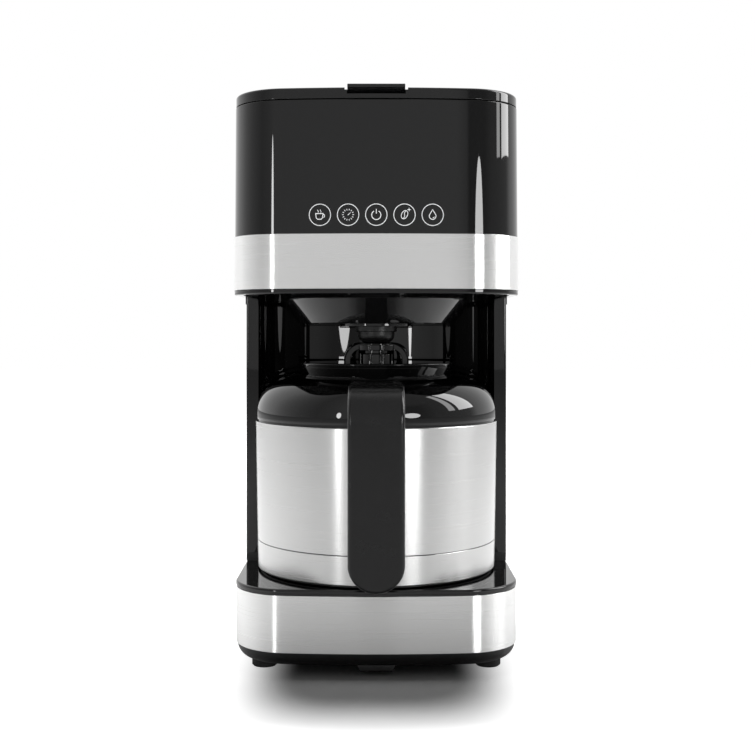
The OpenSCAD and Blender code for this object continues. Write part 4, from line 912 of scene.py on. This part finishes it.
class COFFEE_OT_lid(MakerOperator, bpy.types.Operator):
    """Builds the machine's hinged lid with the scoop round its thumb tab"""

    bl_idname = "coffee.lid"
    bl_label = "Lid"

    def execute(self, context):
        hinge_y = 110.0
        inset, skin = 1.5, 2.2
        cut_y = hinge_y - 3
        radius = sizes().lid_radius / MM
        section = rounded([
            (-inset - skin, LID_TOP - skin, 0), (-inset - skin, LID_Z, 0.3), (-inset, LID_Z, 0.3),
            (-inset, LID_TOP, radius), (-8, LID_TOP)], 0.3, 6)
        rows = [[(x, min(y, cut_y), z) for x, y, z in row]
                for row in swept(all_round(HEAD_HALF), [(-8, LID_TOP - skin)] + section)]
        tab, notch = 32.8 / 2, 1.6
        scoop = LID_TOP - 3.8
        low, high = LID_TOP - 2.1, LID_TOP + 5
        cutters = [
            block((-tab - notch, FRONT - 5, low), (tab + notch, FRONT + 9, high)),
            block((-tab - 0.3, FRONT - 5, scoop), (tab + 0.3, FRONT + 7, low + 0.01))]
        for side in (-LUG_X, LUG_X):
            cutters.append(block((side - LUG_SLOT, hinge_y - 3.7, LID_Z - 1),
                                 (side + LUG_SLOT, hinge_y + 1, LID_TOP + 1)))
        lid = Shape().skin(rows, caps=BOTH)
        lid.make("lid_top", "top_lid", "machine_lid", cutters=cutters)
        shelf = block((-22, FRONT + 2.4, scoop - 1.2), (22, FRONT + 14, scoop))
        shelf.make("tab_shelf", "top_lid", bevel=0.2)
        self.tab(tab, scoop)
        self.barrel(hinge_y, cut_y, HEAD_HALF - inset)
        return {"FINISHED"}

    def tab(self, half, scoop):
        tip, top, back = FRONT - 2.5, LID_TOP + 1.1, FRONT + 6.9
        side = [(tip, LID_TOP - 1), (tip, top - 0.4), (tip + 0.6, top), (back, top), (back, scoop),
                (back - 3, scoop), (tip + 1.6, LID_TOP - 1)]
        blade = Shape().skin(crosswise(side, -half, half), caps=BOTH)
        blade.make("lid_tab", "top_lid", "thumb_tab", bevel=0.3)

    def barrel(self, hinge_y, cut_y, half):
        middle, knuckle = (LID_Z + LID_TOP) / 2, (LID_TOP - LID_Z) / 2
        slot_in, slot_out = LUG_X - LUG_SLOT, LUG_X + LUG_SLOT
        side = arc((hinge_y, middle), knuckle, -90, 90, 16)
        side += [(cut_y - 0.2, LID_TOP), (cut_y - 0.2, LID_Z)]
        barrel = Shape()
        for span in ((-half, -slot_out), (-slot_in, slot_in), (slot_out, half)):
            barrel.skin(crosswise(side, *span), caps=BOTH)
        barrel.make("lid_barrel", "top_lid", bevel=0.25)


# Depths of a printed line's front and back behind the panel's face, in millimetres
INK = (-0.05, 0.1)


def panel_front(x, z):
    """Depth of the panel's outer face, which bows across and leans back."""
    bow = sizes().bow_radius / MM
    inset = 0.8 + 0.5 * (z - PANEL_Z) / (PANEL_TOP - PANEL_Z)
    return FRONT + bow - sqrt((bow - inset) ** 2 - x * x)


class COFFEE_OT_symbols(MakerOperator, bpy.types.Operator):
    """Prints five ringed touch symbols on the panel"""

    bl_idname = "coffee.symbols"
    bl_label = "Touch Symbols"

    def execute(self, context):
        pitch, radius, line = (s / MM for s in (sizes().key_pitch, sizes().key_radius, sizes().key_line))
        self.z, self.line = 263.4, line
        for place, name in enumerate(("cup", "timer", "power", "bean", "drop")):
            self.x = (place - 2) * pitch
            self.shape = Shape()
            self.stroke(arc((0, 0), radius - line / 2, 0, 360, 72)[:-1], True)
            getattr(self, name)()
            self.shape.make("symbol_" + name, "machine", look="print")
        return {"FINISHED"}

    def stroke(self, path, closed=False, width=None):
        """A printed line along points that are given from the middle of the key."""
        half = (width or self.line) / 2
        count = len(path)
        left, right = [], []
        for i, (x, z) in enumerate(path):
            before = path[i - 1] if closed or i > 0 else path[i]
            after = path[(i + 1) % count] if closed or i < count - 1 else path[i]
            dx, dz = after[0] - before[0], after[1] - before[1]
            size = hypot(dx, dz) or 1.0
            nx, nz = -dz / size * half, dx / size * half
            left.append((x + nx, z + nz))
            right.append((x - nx, z - nz))
        proud, sunk = INK
        rows = [[self.on_panel(x, z, depth) for x, z in side]
                for side, depth in ((left, proud), (right, proud), (right, sunk), (left, sunk))]
        self.shape.skin(rows, closed, True, ends=not closed)

    def fill(self, path):
        """A printed patch with the given edge."""
        rows = [[self.on_panel(x, z, depth) for x, z in path] for depth in INK]
        self.shape.skin(rows, caps=BOTH)

    def on_panel(self, x, z, depth):
        px, pz = self.x + x, self.z + z
        return px, panel_front(px, pz) + depth, pz

    def cup(self):
        bowl = [(-2.4, 0.7), (-2.1, -1.7), (-1.4, -2.5), (0.8, -2.5), (1.5, -1.7), (1.8, 0.7)]
        self.stroke(bowl, width=0.5)
        self.stroke([(-2.6, 0.7), (2.0, 0.7)], width=0.5)
        self.stroke(arc((1.75, -0.6), 0.95, -75, 80, 8), width=0.4)
        for x in (-1.1, 0.4):
            self.stroke([(x + 0.25 * sin(t * 1.05), 1.4 + t * 0.3) for t in range(6)], width=0.36)

    def timer(self):
        for i in range(14):
            c, s = cos(2 * pi * i / 14), sin(2 * pi * i / 14)
            self.stroke([(2.5 * c, 2.5 * s), (3.4 * c, 3.4 * s)], width=0.38)
        self.fill([(-0.35, -0.05), (0.05, -0.4), (1.5, 1.15), (1.4, 1.3)])

    def power(self):
        self.stroke(arc((0, -0.2), 2.6, 120, 420, 36), width=0.5)
        self.stroke([(0, 0.6), (0, 3.2)], width=0.5)

    def bean(self):
        tilt = radians(64)

        def lean(points):
            return [(x * cos(tilt) - z * sin(tilt), x * sin(tilt) + z * cos(tilt)) for x, z in points]

        rim = [(2.5 * cos(radians(t)), 1.7 * sin(radians(t))) for t in range(0, 360, 10)]
        crease = [(2.5 - 5 * i / 10, 0.5 * sin(2 * pi * i / 10)) for i in range(11)]
        self.stroke(lean(rim), True, 0.4)
        self.stroke(lean(crease), width=0.4)
        star = [((1.3, 0.38)[i % 2], radians(45 * i)) for i in range(8)]
        self.fill([(2.6 + r * cos(t), 2.9 + r * sin(t)) for r, t in star])

    def drop(self):
        side = [(0.0, 3.0), (0.7, 1.8), (1.4, 0.6)]
        path = side + arc((0, -0.7), 1.9, 35, -215, 24) + [(-x, z) for x, z in reversed(side[1:])]
        self.stroke(path, True, 0.45)
        self.stroke(arc((0, -0.7), 1.05, -20, -90, 6), width=0.36)


class COFFEE_OT_jug(MakerOperator, bpy.types.Operator):
    """Builds the jug: steel wall and cup, and the glossy shoulder"""

    bl_idname = "coffee.jug"
    bl_label = "Jug"

    def execute(self, context):
        steel = 0.8
        foot = JUG_R - 1.1
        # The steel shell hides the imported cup's top, and the seam lies below it
        seam = SEAM_Z - 4.7
        wall = rounded([
            (foot - steel, seam + 0.3, 0), (foot, seam + 0.3, 0.3), (JUG_R, SHOULDER_Z, 1.0),
            (JUG_R - 1.4, SHOULDER_Z, 0), (JUG_R - 1.4, SHOULDER_Z - steel, 0),
            (JUG_R - steel, SHOULDER_Z - 1.2, 0)], 0.3, 6, True)
        shell = Shape().skin(turned(wall, 256), round_columns=True)
        shell.make("jug_wall", "jug", "jug_shell", "brushed_steel", "jug_steel")
        low, skirt = foot - 0.4, 1.6
        profile = rounded([
            (0, CUP_Z), (low - 1.5, CUP_Z, 0), (low - 1.5, CUP_Z - skirt), (low, CUP_Z - skirt, 1.0),
            (foot, seam, 0.3), (foot - steel, seam, 0), (foot - steel - 0.4, CUP_Z + 3.4),
            (low - 3, CUP_Z + steel), (0, CUP_Z + steel)], 0.3, 8)
        cup = Shape().skin(turned(profile, 256))
        cup.make("jug_base_cup", "jug", "jug_cup", "brushed_steel", "jug_steel")
        self.shoulder()
        return {"FINISHED"}

    def shoulder(self):
        out, wall = JUG_R - 0.65, 2.4
        side_r, crown_r, neck = 22.0, 36.0, 50.0
        turn = 58.0
        side = (out - side_r, SHOULDER_Z + 4.9)
        crown = (side[0] - (crown_r - side_r) * cos(radians(turn)),
                 side[1] - (crown_r - side_r) * sin(radians(turn)))
        end_turn = degrees(acos((neck - crown[0]) / crown_r))
        neck_z = crown[1] + sqrt(crown_r ** 2 - (neck - crown[0]) ** 2)
        top = JUG_LID_TOP - 0.4
        seat = JUG_LID_TOP - 2.8
        step = out - 0.8
        profile = [(out - wall, SHOULDER_Z - 8), (step, SHOULDER_Z - 8), (step, SHOULDER_Z + 1.4),
                   (out - 0.1, SHOULDER_Z + 1.4), (out, SHOULDER_Z + 1.6), (out, SHOULDER_Z + 3)]
        profile += arc(side, side_r, 0, turn, 24)
        # The neck flares out under its rim
        bend = arc(crown, crown_r, turn, end_turn, 12)[1:]
        flare = [bend[-1], (neck - 3.6, neck_z + 0.3, 0), (neck - 0.7, top, 0.3), (48.4, top)]
        profile += bend[:-1] + rounded(flare, 0, 6)
        profile += [(48.3, top - 0.1), (48.3, seat), (46.4, seat), (44.6, neck_z)]
        profile += arc(crown, crown_r - wall, end_turn - 2, turn, 10)
        profile += arc(side, side_r - wall, turn, 0, 14)
        spout = block((-8, JUG_Y + 38, JUG_LID_TOP - 6.6), (8, JUG_Y + 56, seat))
        dome = Shape().skin(turned(profile, 256), round_columns=True)
        dome.make("jug_dome", "jug", "jug_shoulder", sharp=42, cutters=[spout])


class COFFEE_OT_handle(MakerOperator, bpy.types.Operator):
    """Builds the open jug handle with its inner cover"""

    bl_idname = "coffee.handle"
    bl_label = "Handle"

    def execute(self, context):
        front, tip = edge("jug_handle", 0, 1), edge("jug_handle", 0, 2)
        half, top = edge("jug_handle", 1, 0), edge("jug_handle", 1, 2)
        bend = sizes().handle_bend / MM
        fillet = sizes().handle_edge / MM
        self.line = (front, top, tip, bend)
        self.make("grip", half, 0.0, (0.0, 10.0), (fillet, 0.4), "jug_handle", -62.0)
        self.make("grip_cover", half, 1.0, (10.0, 14.0), (0.3, 1.6), "handle_back", -64.0)
        return {"FINISHED"}

    def spot(self, s, u, depth):
        """Point at a length s from the tip, u across and some depth under the outer face."""
        front, top, tip, bend = self.line
        straight = top - bend - tip
        turn = (s - straight) / bend
        if turn <= 0:
            return u, front + depth, tip + s
        if turn < pi / 2:
            r = bend - depth
            return u, front + bend - r * cos(turn), top - bend + r * sin(turn)
        return u, front + bend + (turn - pi / 2) * bend, top - depth

    def make(self, name, handle_half, inset, depths, fillets, node, root_y):
        """A bar between two depths under the outer face, from its round tip to a root at the jug."""
        front, top, tip, bend = self.line
        half = handle_half - inset
        near, far = depths
        front_fillet, back_fillet = fillets
        # Layers from the outer face to the inner: distance in from the side, depth, share of the width
        layers = [(front_fillet, near, share_across) for share_across in (0.0, 0.5, 0.93)]
        for t in [pi / 2 * i / 6 for i in range(7)]:
            layers.append((front_fillet * (1 - sin(t)), near + front_fillet * (1 - cos(t)), 1.0))
        for t in [pi / 2 * i / 4 for i in range(5)]:
            layers.append((back_fillet * (1 - cos(t)), far - back_fillet * (1 - sin(t)), 1.0))
        layers += [(back_fillet, far, share_across) for share_across in (0.93, 0.5, 0.0)]
        run = (top - bend - tip) + bend * pi / 2 + (root_y - front - bend)
        tip_steps, run_steps = 22, 60
        rows = []
        for i in range(tip_steps + run_steps):
            row = []
            for e, depth, across in layers:
                if i <= tip_steps:
                    t = pi / 2 * i / tip_steps
                    s, w = half - (half - e) * cos(t), (half - e) * sin(t)
                else:
                    s, w = half + (run - half) * ((i - tip_steps) / run_steps), half - e
                row.append((s + inset, w * across, depth))
            mirrored = [(s, -u, d) for s, u, d in reversed(row[1:-1])]
            rows.append([self.spot(*spot) for spot in row + mirrored])
        shape = Shape().skin(rows, caps=(False, True))
        shape.make(name, "jug", node, look="handle_black", sharp=50)


class COFFEE_OT_jug_lid(MakerOperator, bpy.types.Operator):
    """Builds the jug's lid with its fluted knob"""

    bl_idname = "coffee.jug_lid"
    bl_label = "Jug Lid"

    def execute(self, context):
        top = JUG_LID_TOP
        disc = rounded([(9, top - 2.6), (48, top - 2.6, 0.4), (48, top, 0.8), (9, top)], 0.2, 5, True)
        plug = [
            (9, top - 18.6), (41, top - 18.6), (41, top - 16.6), (39.8, top - 16.6), (39.8, top - 14.2),
            (41, top - 14.2), (41, top - 2.5), (38.6, top - 2.5), (38.6, top - 16.6), (9, top - 16.6)]
        shape = Shape().skin(turned(disc, 200), round_columns=True)
        shape.skin(turned(rounded(plug, 0.15, 2, True), 160), round_columns=True)
        shape.make("jug_lid_disc", "jug_lid", "jug_lid")
        self.knob(top)
        return {"FINISHED"}

    def knob(self, foot):
        """A fluted core with a dished mouth, under a bell that is cut open for two fingers."""
        head = 13.0
        bell_r, bell_t, grip, flutes = 10.5, 2.6, 7.0, 9
        bell_x, bell_z = head - 3.1, KNOB_TOP - bell_r
        hole, mouth, body, throat = 5.6, 8.6, head - 1.8, head - 3.4
        ring_z, ring_top = KNOB_TOP - 4.3, KNOB_TOP - 0.6
        outer = arc((bell_x, bell_z), bell_r, 90, 0, 28)
        inner = arc((bell_x, bell_z), bell_r - bell_t, 0, 90, 24)
        section = outer + [(bell_x + bell_r, foot), (bell_x + bell_r - bell_t, foot)] + inner
        far = 60.0
        cutters = [block((-far, JUG_Y + grip, foot - 1), (far, JUG_Y + far, far + foot)),
                   block((-far, JUG_Y - far, foot - 1), (far, JUG_Y - grip, far + foot))]
        bell = Shape().skin(turned(section, 224), round_columns=True)
        bell.make("knob_bell", "jug_lid", "lid_knob", cutters=cutters, bevel=0.3)
        profile = rounded([
            (hole, foot), (body, foot, 0), (body, foot + 5, 0.3), (throat, foot + 5.6, 0.1),
            (throat, ring_z, 0), (head, ring_z, 0.4), (head, ring_top, 0.5),
            (bell_x + 0.6, ring_top, 0.1), (bell_x + 0.6, KNOB_TOP, 0.2), (mouth, KNOB_TOP, 0.3),
            (hole, KNOB_TOP - 5, 0.2)], 0.2, 4, True)
        grooves = []
        for i in range(flutes):
            turn = radians(270 + (i + 0.5) * 360 / flutes)
            for reach, radius, low, high in ((body + 0.5, 1.3, foot - 1, ring_z - 0.02),
                                             (head + 0.2, 0.7, ring_z - 0.01, KNOB_TOP)):
                x, y = reach * cos(turn), JUG_Y + reach * sin(turn)
                grooves.append(peg(x, y, low, radius, high - low, steps=16))
        core = Shape().skin(turned(profile, 160), round_columns=True)
        core.make("knob_core", "jug_lid", cutters=grooves, bevel=0.2)


class COFFEE_OT_funnel(MakerOperator, bpy.types.Operator):
    """Builds the brewing funnel that shows under the head"""

    bl_idname = "coffee.funnel"
    bl_label = "Funnel"

    def execute(self, context):
        guide, lip, foot, tier, rim, skin = 13.4, 57.3, 47.2, 55.3, 64.5, 2.0
        wall_foot = HEAD_Z + 5.3
        deck = PANEL_TOP - 13.1
        profile = rounded([
            (guide, CONE_Z - NOZZLE_H), (23, CONE_Z - NOZZLE_H, 0.3), (23, CONE_Z, 0.1),
            (foot - 0.6, CONE_Z, 0.3),
            (foot, CONE_Z + 0.6, 0.3), (lip - 0.5, FUNNEL_Z - 0.5, 0.2), (lip, FUNNEL_Z, 0.15),
            (tier, FUNNEL_Z + 0.5, 0.3), (tier, wall_foot), (rim - 4, wall_foot + 6),
            (rim, deck, 0.3), (rim + 2.6, deck, 0.3), (rim + 2.6, deck + 1.6, 0.4),
            (rim - skin, deck + 1.6, 0.5), (rim - skin - 0.2, deck - 10, 0.2),
            (rim - skin - 3.2, deck - 10.5, 0.4), (rim - skin - 5, wall_foot + 7.5),
            (tier - skin, wall_foot), (tier - skin, FUNNEL_Z - 1), (foot - skin, CONE_Z + 1.6),
            (guide, CONE_Z + 1.6, 0.2)], 0.5, 4, True)
        bowl = Shape().skin(turned(profile, 224), round_columns=True)
        bowl.make("funnel_bowl", "machine", "brew_funnel")
        return {"FINISHED"}


class COFFEE_OT_packed_parts(MakerOperator, bpy.types.Operator):
    """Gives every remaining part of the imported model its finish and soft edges"""

    bl_idname = "coffee.packed_parts"
    bl_label = "Packed Parts"

    def execute(self, context):
        slots = {part["node"]: part["material_slot"] for part in frame["record"]["subparts"]}
        for name, part in frame["nodes"].items():
            part.data.materials.clear()
            part.data.materials.append(finish(slots[name]))
            if name != "valve_spring":
                part.modifiers.new("smooth", "WEIGHTED_NORMAL").keep_sharp = True
        for name in ("foot_collar", "rear_cap"):
            round_edges(frame["nodes"][name], 0.3)
        return {"FINISHED"}


class COFFEE_PT_panel(bpy.types.Panel):
    """Sidebar panel with the sizes, colours and operators"""

    bl_idname = "COFFEE_PT_panel"
    bl_label = "Coffee Maker"
    bl_space_type = "VIEW_3D"
    bl_region_type = "UI"
    bl_category = "Coffee Maker"

    def draw(self, context):
        for group in (sizes(), colours(), studio()):
            box = self.layout.box()
            for name in group.bl_rna.properties.keys():
                if name not in ("rna_type", "name"):
                    box.prop(group, name)
        for operator in OPERATORS:
            self.layout.operator(operator.bl_idname)


OPERATORS = (
    COFFEE_OT_studio,
    COFFEE_OT_packed_parts,
    COFFEE_OT_base,
    COFFEE_OT_column,
    COFFEE_OT_head,
    COFFEE_OT_lid,
    COFFEE_OT_symbols,
    COFFEE_OT_funnel,
    COFFEE_OT_jug,
    COFFEE_OT_handle,
    COFFEE_OT_jug_lid,
)
GROUPS = (CoffeeMakerSizes, CoffeeMakerColours, CoffeeMakerStudio)


def register():
    for part in (*GROUPS, *OPERATORS, COFFEE_PT_panel):
        bpy.utils.register_class(part)
    for group, name in zip(GROUPS, ("sizes", "colours", "studio")):
        setattr(bpy.types.Scene, "coffee_maker_" + name, PointerProperty(type=group))


def unregister():
    for name in ("sizes", "colours", "studio"):
        delattr(bpy.types.Scene, "coffee_maker_" + name)
    for part in reversed((*GROUPS, *OPERATORS, COFFEE_PT_panel)):
        bpy.utils.unregister_class(part)


def main():
    register()
    for operator in OPERATORS:
        getattr(bpy.ops.coffee, operator.bl_idname.split(".")[1])()


if __name__ == "__main__":
    main()
